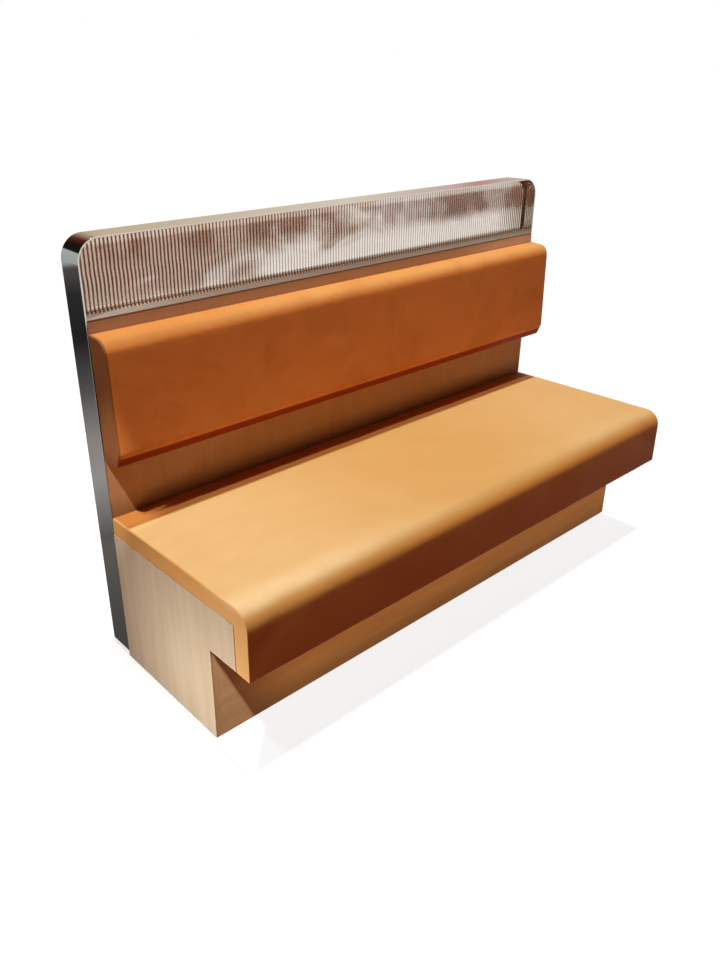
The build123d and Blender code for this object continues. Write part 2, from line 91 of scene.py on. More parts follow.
class BenchSizes(bpy.types.PropertyGroup):
    """Sizes of the bench's visible pieces."""
    band_wall: length_prop("Band wall", "Thickness of the folded steel band", 4 * MM, 1 * MM)
    band_corner: length_prop(
        "Band corner", "Outer radius of the band's two upper corners", 60 * MM, 5 * MM)
    edge_round: length_prop(
        "Edge rounding", "Radius of the eased edges of panels and metal", 0.9 * MM, 0.1 * MM)
    reed_rise: length_prop(
        "Reed rise", "Height of the glass reeds over the flat of the pane", 2.5 * MM, 0.2 * MM)
    reed_count: count_prop("Reeds", "Number of upright reeds across the pane", 162)
    reed_steps: count_prop("Steps in a reed", "Flats that make up the curve of one reed", 8)
    seat_swell: length_prop("Seat swell", "How far the foam pushes the seat leather out", 5 * MM)
    pad_swell: length_prop(
        "Back pad swell", "How far the foam pushes the back pad's leather out", 4 * MM)
    nose_radius: length_prop("Seat nose", "Radius of the seat's front edge", 50 * MM, 5 * MM)
    pad_nose_radius: length_prop(
        "Back pad nose", "Radius of the back pad's upper front edge", 36 * MM, 5 * MM)
    screw_spacing: length_prop(
        "Screw spacing", "Distance between the screws of the rear board", 0.29, 0.05)


class BenchColours(bpy.types.PropertyGroup):
    """Colours of the bench's finishes."""
    leather: colour_prop("Leather", "Tan of the leather pads", (0.77, 0.45, 0.155))
    leather_deep: colour_prop(
        "Leather, deep", "Darker tan in the leather's clouds", (0.72, 0.34, 0.10))
    # Painted highlight: this pale tan stands for the seat's sheen, with a little wear.
    leather_highlight_and_wear: colour_prop(
        "Leather, worn", "Paler leather where the seat is rubbed", (0.96, 0.66, 0.34))
    # Painted light: this bright orange lights up the seat's lower nose.
    leather_painted_nose_light: colour_prop(
        "Leather, glow", "Bright orange of the seat's rounded front", (1.0, 0.39, 0.075))
    # Painted shade: this red tan deepens the upright leather, which light from above leaves dim.
    leather_shade_red: colour_prop(
        "Leather, red", "Deeper red tan of the upright leather", (1.0, 0.26, 0.045))
    # Painted shadow at the seat's rear and painted shade on the back pad's top left; on the back
    # pad's patches it is random tone.
    leather_shadow_and_patches: colour_prop(
        "Leather, rear", "Red brown of the seat's rear and the back pad's patches",
        (0.64, 0.215, 0.045))
    # Painted shade on the back pad's lower bevel, and a painted contact shadow along the seat's
    # hem.
    leather_lower_edge_shade: colour_prop(
        "Leather, bevel", "Dark red of the lower edges of both pads", (0.30, 0.032, 0.004))
    # Painted shade on the back pad's ends, and a painted contact shadow along its rear edge.
    leather_end_and_rear_shade: colour_prop("Leather, ends", "Brown of the back pad's ends", (0.30, 0.12, 0.045))
    oak_pale: colour_prop("Oak, pale", "Light streaks of the end panels", (0.72, 0.60, 0.43))
    oak_pale_deep: colour_prop(
        "Oak, pale, deep", "Dark streaks of the end panels", (0.60, 0.46, 0.31))
    oak_warm: colour_prop("Oak, warm", "Light streaks of the plinth", (0.66, 0.42, 0.22))
    oak_warm_deep: colour_prop("Oak, warm, deep", "Dark streaks of the plinth", (0.52, 0.29, 0.13))
    oak_back: colour_prop("Oak, back", "Light streaks of the back board", (0.68, 0.37, 0.19))
    oak_back_deep: colour_prop(
        "Oak, back, deep", "Dark streaks of the back board", (0.56, 0.26, 0.115))
    steel: colour_prop("Steel", "Mirror steel of the band", (0.80, 0.75, 0.69))
    sill: colour_prop("Sill", "Warm grey of the sill under the glass", (0.72, 0.61, 0.50))
    glass_cream: colour_prop(
        "Glass, cream", "Light lines of the reeded glass", (0.81, 0.68, 0.56))
    # Painted reflection and refraction: the pale lines and the brown lines and clouds are painted;
    # the cream is the glass's own tint.
    glass_pale_reflection: colour_prop(
        "Glass, pale", "Light lines where the glass is palest", (0.88, 0.81, 0.74))
    glass_painted_brown: colour_prop("Glass, brown", "Dark lines of the reeded glass", (0.59, 0.37, 0.26))
    laminate: colour_prop("Rear laminate", "Rear face of the back", (0.34, 0.29, 0.24))


# Colours that a finish lays over its own in some places. The steel shade is a painted reflection,
# the sill's colours painted light and shade, and the foot's colours painted refraction; the
# rubber's are its own.
BOARD_OVER_PAD = (0.60, 0.46, 0.35)
BOARD_OVER_PAD_RIGHT = (0.96, 0.72, 0.56)
STEEL_SHADE = (0.12, 0.10, 0.09)
SILL_LEFT_PAINTED_LIGHT = (1.0, 0.95, 0.88)
SILL_RIGHT_PAINTED_SHADE = (0.38, 0.30, 0.23)
SILL_LIP_PAINTED_SHADE = (0.25, 0.20, 0.16)
FOOT_PAINTED_LIGHT = (0.95, 0.78, 0.60)
FOOT_PAINTED_DARK = (0.28, 0.10, 0.055)
RUBBER = (0.16, 0.115, 0.10)
RUBBER_DEEP = (0.10, 0.07, 0.06)


# Shader maths as plain expressions

def by_node(operation, turned=False):
    """A method that works on a wire and another value, by adding a Math node."""
    return lambda wire, other: wire.maths(operation, other, turned)


class Wire:
    """An output of a node. Sums, products and comparisons add the Math nodes that they need."""

    def __init__(self, graph, socket):
        self.graph = graph
        self.socket = socket

    def beside(self):
        """Every output of this wire's node, by its name."""
        return {socket.name: Wire(self.graph, socket) for socket in self.socket.node.outputs}

    def maths(self, operation, other=None, turned=False):
        values = [self] if other is None else [other, self] if turned else [self, other]
        return self.graph.add(
            "ShaderNodeMath", {"operation": operation}, dict(enumerate(values)))

    __add__ = __radd__ = by_node("ADD")
    __mul__ = __rmul__ = by_node("MULTIPLY")
    __sub__ = by_node("SUBTRACT")
    __rsub__ = by_node("SUBTRACT", turned=True)
    __truediv__ = by_node("DIVIDE")
    __rtruediv__ = by_node("DIVIDE", turned=True)
    __mod__ = by_node("FLOORED_MODULO")
    __gt__ = by_node("GREATER_THAN")
    __lt__ = by_node("LESS_THAN")

    def clamped(self):
        return self.maths("MAXIMUM", 0.0).maths("MINIMUM", 1.0)


def solid(colour):
    """The colour with full cover, as a socket wants it."""
    return (*colour, 1.0)


class Graph:
    """A node tree, with one way to add a node: its type, its settings, then its sockets."""

    def __init__(self, tree):
        self.tree = tree

    def add(self, kind, settings=None, sockets=None, output=0):
        node = self.tree.nodes.new(kind)
        for key, value in (settings or {}).items():
            if key == "stops":
                self.set_stops(node.color_ramp, value)
            else:
                setattr(node, key, value)
        for key, value in (sockets or {}).items():
            if isinstance(value, Wire):
                self.tree.links.new(value.socket, node.inputs[key])
            else:
                node.inputs[key].default_value = value
        return Wire(self, node.outputs[output]) if len(node.outputs) else None

    @staticmethod
    def set_stops(ramp, stops):
        while len(ramp.elements) < len(stops):
            ramp.elements.new(0.5)
        for element, (place, colour) in zip(ramp.elements, stops):
            element.position = place
            element.color = solid(colour)

    def mixed(self, share, first, second):
        """A colour between two colours, by a share from 0 to 1."""
        ends = [end if isinstance(end, Wire) else solid(end) for end in (first, second)]
        return self.add("ShaderNodeMix", {"data_type": "RGBA", "clamp_factor": True},
                        {0: share, 6: ends[0], 7: ends[1]}, output=2)

    def layered(self, colour, *layers):
        """The colour under layers, each a share and a colour, that are laid on in their order."""
        for share, laid in layers:
            colour = self.mixed(share, colour, laid)
        return colour

    def noise(self, place, scale, detail=2.0, rough=0.5, distortion=0.0):
        return self.add("ShaderNodeTexNoise", {}, {
            "Vector": place, "Scale": scale, "Detail": detail, "Roughness": rough,
            "Distortion": distortion})

    def stepped(self, value, low, high):
        """0 below low, 1 above high, and a smooth rise between."""
        return self.add("ShaderNodeMapRange", {"interpolation_type": "SMOOTHSTEP"},
                        {"Value": value, "From Min": low, "From Max": high})

    def falling(self, value, low, high):
        """1 below low, 0 above high, and a smooth fall between."""
        return 1.0 - self.stepped(value, low, high)

    def apart(self, vector, axes="XYZ"):
        """The vector's value along each of these axes."""
        values = self.add("ShaderNodeSeparateXYZ", {}, {0: vector}).beside()
        return [values[axis] for axis in axes]


class Finish(Graph):
    """A material, with the place on the piece that its pattern reads."""

    def __init__(self, name, viewport):
        self.material = bpy.data.materials.new(name)
        self.material.use_nodes = True
        self.material.diffuse_color = solid(viewport)
        super().__init__(self.material.node_tree)
        self.tree.nodes.clear()
        self.place = self.add("ShaderNodeTexCoord", {}, {}, output=3)

    def stretched(self, scale, shift=(0, 0, 0)):
        """The place on the piece, stretched and shifted."""
        return self.add("ShaderNodeMapping", {}, {
            "Vector": self.place, "Location": shift, "Scale": scale})

    def bumped(self, *layers):
        """A skin of bumps over each other, each a height, its strength and its depth."""
        skin = None
        for height, strength, depth in layers:
            sockets = {"Height": height, "Strength": strength, "Distance": depth}
            if skin is not None:
                sockets["Normal"] = skin
            skin = self.add("ShaderNodeBump", {}, sockets)
        return skin

    def shaded(self, colour, **sockets):
        """A surface shader. Its other sockets are given with their spaces as underscores."""
        values = {key.replace("_", " "): value for key, value in sockets.items()}
        values["Base Color"] = colour
        return self.add("ShaderNodeBsdfPrincipled", {}, values)

    def finished(self, shader):
        self.add("ShaderNodeOutputMaterial", {}, {"Surface": shader})
        return self.material


# Leather

def leather_finish(name, colours, marked=None):
    """Smooth matte leather with soft clouds, a fine grain and shallow uneven spots."""
    f = Finish(name, colours.leather)
    clouds = f.noise(f.place, scale=4.5, detail=3.0, rough=0.55, distortion=0.6)
    flecks = f.noise(f.place, scale=140.0, detail=3.0, rough=0.6)
    deep_share = f.stepped(clouds, 0.30, 0.72) * 0.34 + (flecks - 0.5) * 0.30 + 0.12
    colour = f.mixed(deep_share, colours.leather, colours.leather_deep)
    # The marked function lays painted light and shade over the leather.
    if marked is not None:
        colour = marked(f, colours, colour)
    grain = f.add("ShaderNodeTexVoronoi", {"feature": "DISTANCE_TO_EDGE"},
                  {"Vector": f.place, "Scale": 520.0})
    creases = f.noise(f.stretched((1.0, 1.6, 1.6)), scale=75.0, detail=4.0, rough=0.62,
                      distortion=0.5)
    dimples = f.stepped(f.noise(f.place, scale=24.0, detail=1.0), 0.66, 0.76)
    hollows = f.noise(f.place, scale=16.0, distortion=0.2)
    skin = f.bumped((f.stepped(grain, 0.0, 0.22), 0.22, 0.25 * MM), (creases, 0.42, 1.0 * MM),
                    (dimples, 0.30, -1.2 * MM), (hollows, 0.22, 5.0 * MM))
    rough = 0.50 + (clouds - 0.5) * 0.16 + (flecks - 0.5) * 0.10
    return f.finished(f.shaded(colour, Roughness=rough, Normal=skin, Specular_IOR_Level=0.05))


def seat_painted_light_and_wear(f, colours, colour):
    """The seat's painted light and shade: a painted highlight for the leather's sheen, with a
    little wear, on its top and nose; painted orange light on its lower nose and painted light on
    the front of its ends; the back pad's painted shadow at its rear; painted shade on its apron
    and ends; and a painted contact shadow along its hem.
    """
    x, y, z = f.apart(f.place)
    top, front = SEAT_HIGH.z, SEAT_LOW.y
    from_middle = x.maths("ABSOLUTE")
    off_ends = f.falling(from_middle, SEAT_HIGH.x - 9 * MM, SEAT_HIGH.x - 4 * MM)
    # Painted shadow of the back pad on the seat's rear.
    at_rear = f.stepped(y, PAD_LOW.y - 6 * MM, PAD_LOW.y + 10 * MM)
    to_left = f.falling(x, -0.85, 0.10)
    to_ends = f.stepped(from_middle, 0.10, 0.70)
    near_front = f.falling(y, front + 40 * MM, front + 130 * MM)
    high = f.stepped(z, top - 26 * MM, top - 6 * MM)
    patchy = 0.6 + f.noise(f.stretched((1.0, 2.0, 2.0)), scale=9.0, detail=3.0) * 0.8
    # Painted highlight for the leather's sheen, with a little wear, on the nose, the left and the
    # ends.
    painted_highlight_and_wear = (near_front * (0.04 + to_left * to_left * 0.34 + to_ends * 0.14)
              + to_left * 0.24 + to_ends * 0.20) * high * patchy * (1.0 - at_rear) * off_ends
    # Painted light on the front of the seat's ends.
    end_front = (1.0 - off_ends) * f.falling(y, front + 60 * MM, front + 260 * MM)
    above_apron = f.stepped(z + (patchy - 1.0) * (6 * MM), top - 51 * MM, top - 47 * MM)
    # Painted light on the lower nose, in orange.
    nose_painted_light = (above_apron * f.falling(z, top - 36 * MM, top - 6 * MM)
                * (1.0 - to_left * 0.4))
    # Painted shade on the apron and the ends.
    apron_and_end_shade = (1.0 - above_apron) * off_ends * 0.30 + (1.0 - off_ends) * 0.12
    # Painted contact shadow along the apron's foot.
    hem_shadow = f.falling(z, SEAT_LOW.z + 1.5 * MM, SEAT_LOW.z + 4.5 * MM)
    return f.layered(
        colour,
        (painted_highlight_and_wear + end_front * (0.22 + high * 0.40), colours.leather_highlight_and_wear),
        (nose_painted_light * off_ends * 0.85, colours.leather_painted_nose_light),
        (at_rear * off_ends * 0.85, colours.leather_shadow_and_patches),
        (apron_and_end_shade.clamped(), colours.leather_shade_red),
        (hem_shadow * off_ends * 0.85, colours.leather_lower_edge_shade))


def pad_painted_shade(f, colours, colour):
    """The back pad's painted shade: deeper red over all and most on its face below the nose, on
    its top left, its lower bevel and underside, and its ends, with a painted contact shadow along
    its rear edge; its patches are random tone.
    """
    x, y, z = f.apart(f.place)
    # Painted shade on the pad's face below its nose.
    under_nose = f.falling(z, PAD_HIGH.z - 27 * MM, PAD_HIGH.z - 13 * MM)
    # Painted shade on the top left, which the lamps light too strongly.
    top_left_shade = f.falling(x, -0.85, -0.10) * (1.0 - under_nose)
    patches = f.stepped(f.noise(f.place, scale=6.0, detail=4.0, rough=0.6, distortion=0.8),
                        0.46, 0.70)
    # Painted shade on the lower bevel and the underside.
    low = f.falling(z, PAD_LOW.z + 24 * MM, PAD_LOW.z + 29 * MM)
    # Painted shade on the ends, and a painted contact shadow along the rear edge.
    at_end = f.stepped(x.maths("ABSOLUTE"), PAD_HIGH.x - 10 * MM, PAD_HIGH.x - 5 * MM)
    behind = f.stepped(y, PAD_HIGH.y - 5 * MM, PAD_HIGH.y - 2 * MM)
    return f.layered(
        colour,
        (0.30 + under_nose * 0.40, colours.leather_shade_red),
        (top_left_shade * 0.50, colours.leather_shadow_and_patches),
        (patches * 0.34, colours.leather_shadow_and_patches),
        (low * 0.95, colours.leather_lower_edge_shade),
        ((at_end * 0.9 + behind * 0.9).clamped(), colours.leather_end_and_rear_shade))


# Oak

LEAF_WIDTH = 282.8 * MM
LEAF_SHIFT = -60.5 * MM


def leaf_joints(f):
    """For veneer laid in leaves: a tone from 0 to 1 for each leaf, and the line between two."""
    x = f.apart(f.place, "X")[0]
    place = (x - LEAF_SHIFT) / LEAF_WIDTH
    leaf = place.maths("FLOOR")
    # Two uneven numbers scatter the tones of neighbouring leaves.
    tone = (leaf * 12.9898).maths("SINE") * 43.7
    tone = tone - tone.maths("FLOOR")
    within = place - leaf
    near = within.maths("MINIMUM", 1.0 - within) * LEAF_WIDTH
    return tone, f.falling(near, 0.5 * MM, 1.8 * MM)


def board_greying_and_painted_shade(f, colour, deep):
    """The back board is greyer over the pad, with painted shade where it meets the seat and a
    painted shadow line under the sill.
    """
    x, z = f.apart(f.place, "XZ")
    to_right = f.stepped(x, 0.30, 0.80)
    above_pad = f.stepped(z, PAD_HIGH.z - 5 * MM, PAD_HIGH.z + 5 * MM)
    # Painted shade where the board meets the seat, and a painted shadow line under the sill.
    foot = f.falling(z, SEAT_HIGH.z - 10 * MM, SEAT_HIGH.z + 75 * MM)
    sill_shadow_line = f.stepped(z, SILL_LOW.z - 5 * MM, SILL_LOW.z - 2 * MM)
    return f.layered(
        colour,
        (above_pad * (0.45 + to_right * 0.35),
         f.mixed(to_right, BOARD_OVER_PAD, BOARD_OVER_PAD_RIGHT)),
        ((foot * 0.62 + sill_shadow_line * 0.8).clamped(), [0.25 * value for value in deep]))


def oak_finish(name, pale, deep, grain_axis, in_leaves=False, edge=None):
    """Oak veneer with its grain along one axis, laid in leaves or with an edge of its own."""
    f = Finish(name, pale)

    def grained(along, across):
        return f.stretched([along if axis == grain_axis else across for axis in "XYZ"])

    streaks = f.noise(grained(1.0, 14.0), scale=2.6, detail=5.0, rough=0.62, distortion=0.35)
    bands = f.noise(grained(0.35, 5.0), scale=2.0, distortion=0.8)
    pores = f.stepped(f.noise(grained(22.0, 620.0), scale=1.0, rough=0.7), 0.60, 0.74)
    contrast = 0.6 if in_leaves else 1.0
    share = f.stepped(streaks, 0.25, 0.78) * (0.58 * contrast) + bands * (0.40 * contrast) - 0.06
    height = pores * -1.0
    if in_leaves:
        tone, line = leaf_joints(f)
        share = share + (tone - 0.5) * 0.22 + line * 0.40
        height = height - line
    share = share + pores * 0.42
    colour = f.mixed(share, pale, deep)
    if in_leaves:
        colour = board_greying_and_painted_shade(f, colour, deep)
    if edge is not None:
        x = f.apart(f.place, "X")[0]
        off_face = x.maths("ABSOLUTE") < (-END_LOW.x - 1 * MM)
        colour = f.mixed(off_face, colour, f.mixed(share, *edge))
    return f.finished(f.shaded(
        colour, Roughness=0.50 + streaks * 0.14, Normal=f.bumped((height, 0.25, 0.3 * MM)),
        Specular_IOR_Level=0.07))


# Steel

def edge_painted_reflection(f, colour):
    """Painted reflection: the band's thin front edge is darkened as if it mirrored a dark room,
    strongly beside the pads and more lightly higher up.
    """
    y, z = f.apart(f.place, "YZ")
    at_front = y < (BAND_LOW.y + 0.5 * MM)
    beside_pads = f.falling(z, SILL_LOW.z - 30 * MM, SILL_LOW.z)
    # Painted reflection of a dark room on the thin front edge.
    return f.mixed(at_front * (0.30 + beside_pads * 0.55), colour, STEEL_SHADE)


def sill_painted_light_and_shade(f, colour):
    """Painted light and shade: the sill is painted brightest at its left end, browner to the
    right, and dark along its lip.
    """
    x, y = f.apart(f.place, "XY")
    # Painted light at the left end, painted shade to the right and along the lip.
    return f.layered(
        colour,
        (f.falling(x, -0.88, -0.48), SILL_LEFT_PAINTED_LIGHT),
        (f.stepped(x, -0.5, 0.1) * 0.5, SILL_RIGHT_PAINTED_SHADE),
        (f.falling(y, SILL_LOW.y + 1.0 * MM, SILL_LOW.y + 2.5 * MM) * 0.6, SILL_LIP_PAINTED_SHADE))


def steel_finish(name, steel, marked, rough_base, metallic=1.0):
    """Polished steel with faint wiping marks and hairline scratches."""
    f = Finish(name, steel)
    smears = f.noise(f.stretched((1.0, 2.0, 0.7)), scale=5.0, detail=4.0, rough=0.6,
                     distortion=1.2)
    hairlines = f.noise(f.stretched((3.0, 900.0, 3.0)), scale=1.0, rough=0.7)
    rough = (rough_base + f.stepped(smears, 0.42, 0.78) * 0.05
             + f.stepped(hairlines, 0.62, 0.80) * 0.03)
    colour = f.mixed(f.stepped(smears, 0.35, 0.75) * 0.4, steel, [0.93 * value for value in steel])
    skin = f.bumped((f.noise(f.place, scale=3.5, detail=1.0), 0.05, 2.0 * MM))
    return f.finished(f.shaded(
        marked(f, colour), Metallic=metallic, Roughness=rough, Normal=skin))


# Glass and the rubber round it

FOOT_STRIP = 14 * MM


def reed_painted_shade(f, sizes, x):
    """0 to 1 across each reed of the glass: 1 on its dark side, a painted shade for the refraction
    through the reed.
    """
    reeds = (x - GLASS_LOW.x) * (sizes.reed_count / (GLASS_HIGH.x - GLASS_LOW.x))
    across = reeds - reeds.maths("FLOOR")
    wander = f.noise(f.stretched((3.0, 1.0, 26.0)), scale=1.0)
    wave = ((across + wander * 0.3) * math.tau).maths("COSINE") * 0.5 + 0.5
    return f.stepped(wave, 0.15, 0.85)


def gasket_finish(sizes):
    """Dark rubber beside the glass, and at its foot a strip that carries the reeds' painted light
    and dark lines down.
    """
    f = Finish("gasket_rubber", (0.30, 0.23, 0.19))
    x, z = f.apart(f.place, "XZ")
    # Painted light and dark lines of the reeds' refraction on the foot strip.
    strip = f.mixed((reed_painted_shade(f, sizes, x) * 1.5).clamped(), FOOT_PAINTED_LIGHT, FOOT_PAINTED_DARK)
    speckle = f.noise(f.place, scale=60.0, detail=3.0)
    rubber = f.mixed(speckle, RUBBER, RUBBER_DEEP)
    colour = f.mixed(z < (GLASS_LOW.z + FOOT_STRIP), rubber, strip)
    return f.finished(f.shaded(colour, Roughness=0.4 + speckle * 0.15, Specular_IOR_Level=0.15))


def glass_finish(colours, sizes):
    """Reeded glass in a warm tint: a light line and a painted dark line in each reed for its
    refraction, with soft painted brown clouds over them for a reflected room.
    """
    f = Finish("reeded_glass", colours.glass_cream)
    x, y, z = f.apart(f.place)
    line = reed_painted_shade(f, sizes, x)
    share_x = (x - GLASS_LOW.x) / (GLASS_HIGH.x - GLASS_LOW.x)
    share_z = (z - GLASS_LOW.z) / (GLASS_HIGH.z - GLASS_LOW.z)
    clouds = f.noise(f.stretched((5.2, 1.0, 11.0)), scale=1.0, detail=2.5, rough=0.55,
                     distortion=0.4)
    # Painted reflection: pale clouds across the pane.
    pale = f.stepped(share_x * 1.15 + (0.5 - share_z) * 0.55 + (clouds - 0.5) * 1.4, 0.20, 0.66)
    streaks = f.noise(f.stretched((11.0, 1.0, 8.0), shift=(3.1, 0, 1.7)), scale=1.0)
    patches = f.stepped(streaks, 0.42, 0.62) * f.stepped(share_z + share_x * 0.30, 0.50, 0.85)
    to_right = f.stepped(share_x, 0.50, 0.76) * f.stepped(share_z, 0.35, 0.60)
    top_row = f.stepped(share_z, 0.86, 0.92)
    foot = f.falling(z, GLASS_LOW.z + FOOT_STRIP - 2 * MM, GLASS_LOW.z + FOOT_STRIP)
    # Painted reflection and refraction: brown haze and dark reed lines, laid on as an opaque milky
    # surface.
    painted_haze = (0.09 + (1.0 - pale) * 0.38 + patches * 0.24 + to_right * 0.44) * (1.0 - top_row * 0.6)
    cover = painted_haze + line * (0.66 - pale * 0.14 + top_row * 0.15)
    cover = cover + (line * 0.96 + 0.03 - cover) * foot
    on_front = y < (GLASS_LOW.y + sizes.reed_rise + 1 * MM)
    tint = f.mixed(pale, colours.glass_cream, colours.glass_pale_reflection)
    brown = f.mixed(foot, colours.glass_painted_brown, FOOT_PAINTED_DARK)
    clear = f.shaded(tint, Roughness=0.06 + pale * 0.06, Transmission_Weight=1.0, IOR=1.25)
    painted_milky = f.shaded(brown, Roughness=0.35, Specular_IOR_Level=0.12)
    return f.finished(f.add(
        "ShaderNodeMixShader", {}, {0: (cover * on_front).clamped(), 1: clear, 2: painted_milky}))


# Pieces that hardly show

PLAIN = {
    # name: colour, roughness, metallic, and the scale, contrast and stretch of its speckle
    "plywood": ((0.60, 0.43, 0.26), 0.65, 0.0, 6.0, 0.10, (1, 9, 9)),
    "pine": ((0.66, 0.46, 0.24), 0.65, 0.0, 7.0, 0.12, (9, 9, 1)),
    "zinc_steel": ((0.62, 0.64, 0.66), 0.34, 1.0, 90.0, 0.06, (1, 1, 1)),
    "glide_plastic": ((0.03, 0.03, 0.032), 0.5, 0.0, 40.0, 0.12, (1, 1, 1)),
    "foam": ((0.78, 0.70, 0.45), 0.9, 0.0, 220.0, 0.12, (1, 1, 1)),
}


def plain_finish(name, colour, rough, metallic, scale, contrast, stretch=(1, 1, 1)):
    """A quiet finish: a speckled colour over a fine tooth."""
    f = Finish(name, colour)
    speckle = f.noise(f.stretched(stretch), scale, detail=4.0, rough=0.6)
    deep = [value * (1.0 - 2.5 * contrast) for value in colour]
    shade = f.mixed(f.stepped(speckle, 0.30, 0.72), colour, deep)
    return f.finished(f.shaded(
        shade, Metallic=metallic, Roughness=rough - 0.06 + speckle * 0.12,
        Normal=f.bumped((speckle, 0.12, 0.3 * MM))))


FINISHES = {}


def finish(name):
    """The named finish, made when it is first asked for."""
    colours = bpy.context.scene.bench_colours
    sizes = bpy.context.scene.bench_sizes
    makers = {
        "leather": lambda: leather_finish(name, colours),
        "leather_seat": lambda: leather_finish(name, colours, seat_painted_light_and_wear),
        "leather_pad": lambda: leather_finish(name, colours, pad_painted_shade),
        "oak_end": lambda: oak_finish(name, colours.oak_pale, colours.oak_pale_deep, "Z",
                                      edge=(colours.oak_warm, colours.oak_warm_deep)),
        "oak_plinth": lambda: oak_finish(name, colours.oak_warm, colours.oak_warm_deep, "X"),
        "oak_back": lambda: oak_finish(name, colours.oak_back, colours.oak_back_deep, "Z",
                                       in_leaves=True),
        "band_steel": lambda: steel_finish(name, colours.steel, edge_painted_reflection, rough_base=0.045),
        "sill_steel": lambda: steel_finish(name, colours.sill, sill_painted_light_and_shade, rough_base=0.50,
                                           metallic=0.75),
        "reeded_glass": lambda: glass_finish(colours, sizes),
        "gasket_rubber": lambda: gasket_finish(sizes),
        "back_laminate": lambda: plain_finish(name, colours.laminate, rough=0.55, metallic=0.0,
                                              scale=300.0, contrast=0.05),
    }
    if name not in FINISHES:
        FINISHES[name] = makers[name]() if name in makers else plain_finish(name, *PLAIN[name])
    return FINISHES[name]


# Helpers for meshes

def linked_object(name, data):
    """A new object of the scene that shows this mesh, lamp or camera."""
    thing = bpy.data.objects.new(name, data)
    bpy.context.scene.collection.objects.link(thing)
    return thing


def piece_from(name, mesh, finish_name, replaced=(), smooth_angle=None):
    """A finished piece: its mesh in place, its finish, its body and the nodes it stands for."""
    mesh.name = name
    mesh.materials.clear()
    mesh.materials.append(finish(finish_name))
    piece = linked_object(name, mesh)
    if smooth_angle is not None:
        mesh.shade_smooth()
        mesh.set_sharp_from_angle(angle=math.radians(smooth_angle))
    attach(piece, ROOT)
    if replaced:
        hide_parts(*replaced)
    return piece


def flattened(source):
    """The object's mesh with its modifiers applied. The object itself is removed."""
    bpy.context.view_layer.update()
    evaluated = source.evaluated_get(bpy.context.evaluated_depsgraph_get())
    mesh = bpy.data.meshes.new_from_object(evaluated)
    bpy.data.objects.remove(source)
    return mesh


def modified(mesh, kind, **settings):
    """The mesh with one modifier applied."""
    holder = linked_object("helper", mesh)
    modifier = holder.modifiers.new(kind, kind)
    for key, value in settings.items():
        setattr(modifier, key, value)
    return flattened(holder)


def closed_mesh(shape, mesh=None):
    """The mesh of a closed bmesh, with every face turned outwards."""
    bmesh.ops.recalc_face_normals(shape, faces=shape.faces)
    mesh = mesh or bpy.data.meshes.new("closed")
    shape.to_mesh(mesh)
    shape.free()
    return mesh


def faced(mesh):
    """The mesh with smooth eased edges, and with its wide faces shaded flat right up to them."""
    mesh.shade_smooth()
    mesh.set_sharp_from_angle(angle=math.radians(40))
    return modified(mesh, "WEIGHTED_NORMAL", keep_sharp=True)


def eased_copy(node_name, width):
    """A copy of a carried node's mesh, merged into flat faces, with its sharp edges eased."""
    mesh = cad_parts[node_name].data.copy()
    if mesh.has_custom_normals:
        mesh.attributes.remove(mesh.attributes["custom_normal"])
    shape = bmesh.new()
    shape.from_mesh(mesh)
    bmesh.ops.remove_doubles(shape, verts=shape.verts, dist=MERGE_DISTANCE)
    bmesh.ops.dissolve_limit(
        shape, angle_limit=math.radians(1), verts=shape.verts, edges=shape.edges)
    return faced(modified(closed_mesh(shape, mesh), "BEVEL", width=width, segments=3,
                          limit_method="ANGLE", angle_limit=math.radians(50)))


def swept_mesh(section, stations):
    """A closed bar: the section's points at each station, with a flat end at both ends."""
    shape = bmesh.new()
    rings = [[shape.verts.new(place(point)) for point in section] for place in stations]
    count = len(section)
    for ring, following in zip(rings, rings[1:]):
        for index in range(count):
            other = (index + 1) % count
            shape.faces.new((ring[index], ring[other], following[other], following[index]))
    shape.faces.new(list(reversed(rings[0])))
    shape.faces.new(rings[-1])
    return closed_mesh(shape)


def rounded_rectangle(width, height, radius, steps=3):
    """Points round a rectangle with its low corner at (0, 0) and its corners eased."""
    points = []
    centres = ((width - radius, radius, -90), (width - radius, height - radius, 0),
               (radius, height - radius, 90), (radius, radius, 180))
    for centre_x, centre_y, start in centres:
        for step in range(steps + 1):
            angle = math.radians(start + 90 * step / steps)
            points.append((centre_x + radius * math.cos(angle),
                           centre_y + radius * math.sin(angle)))
    return points


def spread(start, end, count):
    """Numbers from start to end with count even steps between them."""
    return [start + (end - start) * index / count for index in range(count + 1)]


def ramp(past, width):
    """0 where past is under 0, 1 where it is over width, and even between."""
    return min(1.0, max(0.0, past / width))


def slab_mesh(outer, inner, stations, layers):
    """A closed pad between two profiles of (y, z) points, along stations in x, in layers."""
    shape = bmesh.new()
    last = (len(stations) - 1, len(outer) - 1, len(layers) - 1)
    corners = {}

    def corner(i, j, k):
        key = (i, j, k)
        if key not in corners:
            y, z = (start + (end - start) * layers[k] for start, end in zip(outer[j], inner[j]))
            corners[key] = shape.verts.new((stations[i], y, z))
        return corners[key]

    def patch(fixed, at, first, second):
        for a in range(last[first]):
            for b in range(last[second]):
                loop = []
                for step_a, step_b in ((0, 0), (1, 0), (1, 1), (0, 1)):
                    key = [0, 0, 0]
                    key[fixed], key[first], key[second] = at, a + step_a, b + step_b
                    loop.append(corner(*key))
                shape.faces.new(loop)

    for fixed, first, second in ((0, 1, 2), (1, 0, 2), (2, 0, 1)):
        patch(fixed, 0, first, second)
        patch(fixed, last[fixed], first, second)
    return closed_mesh(shape)


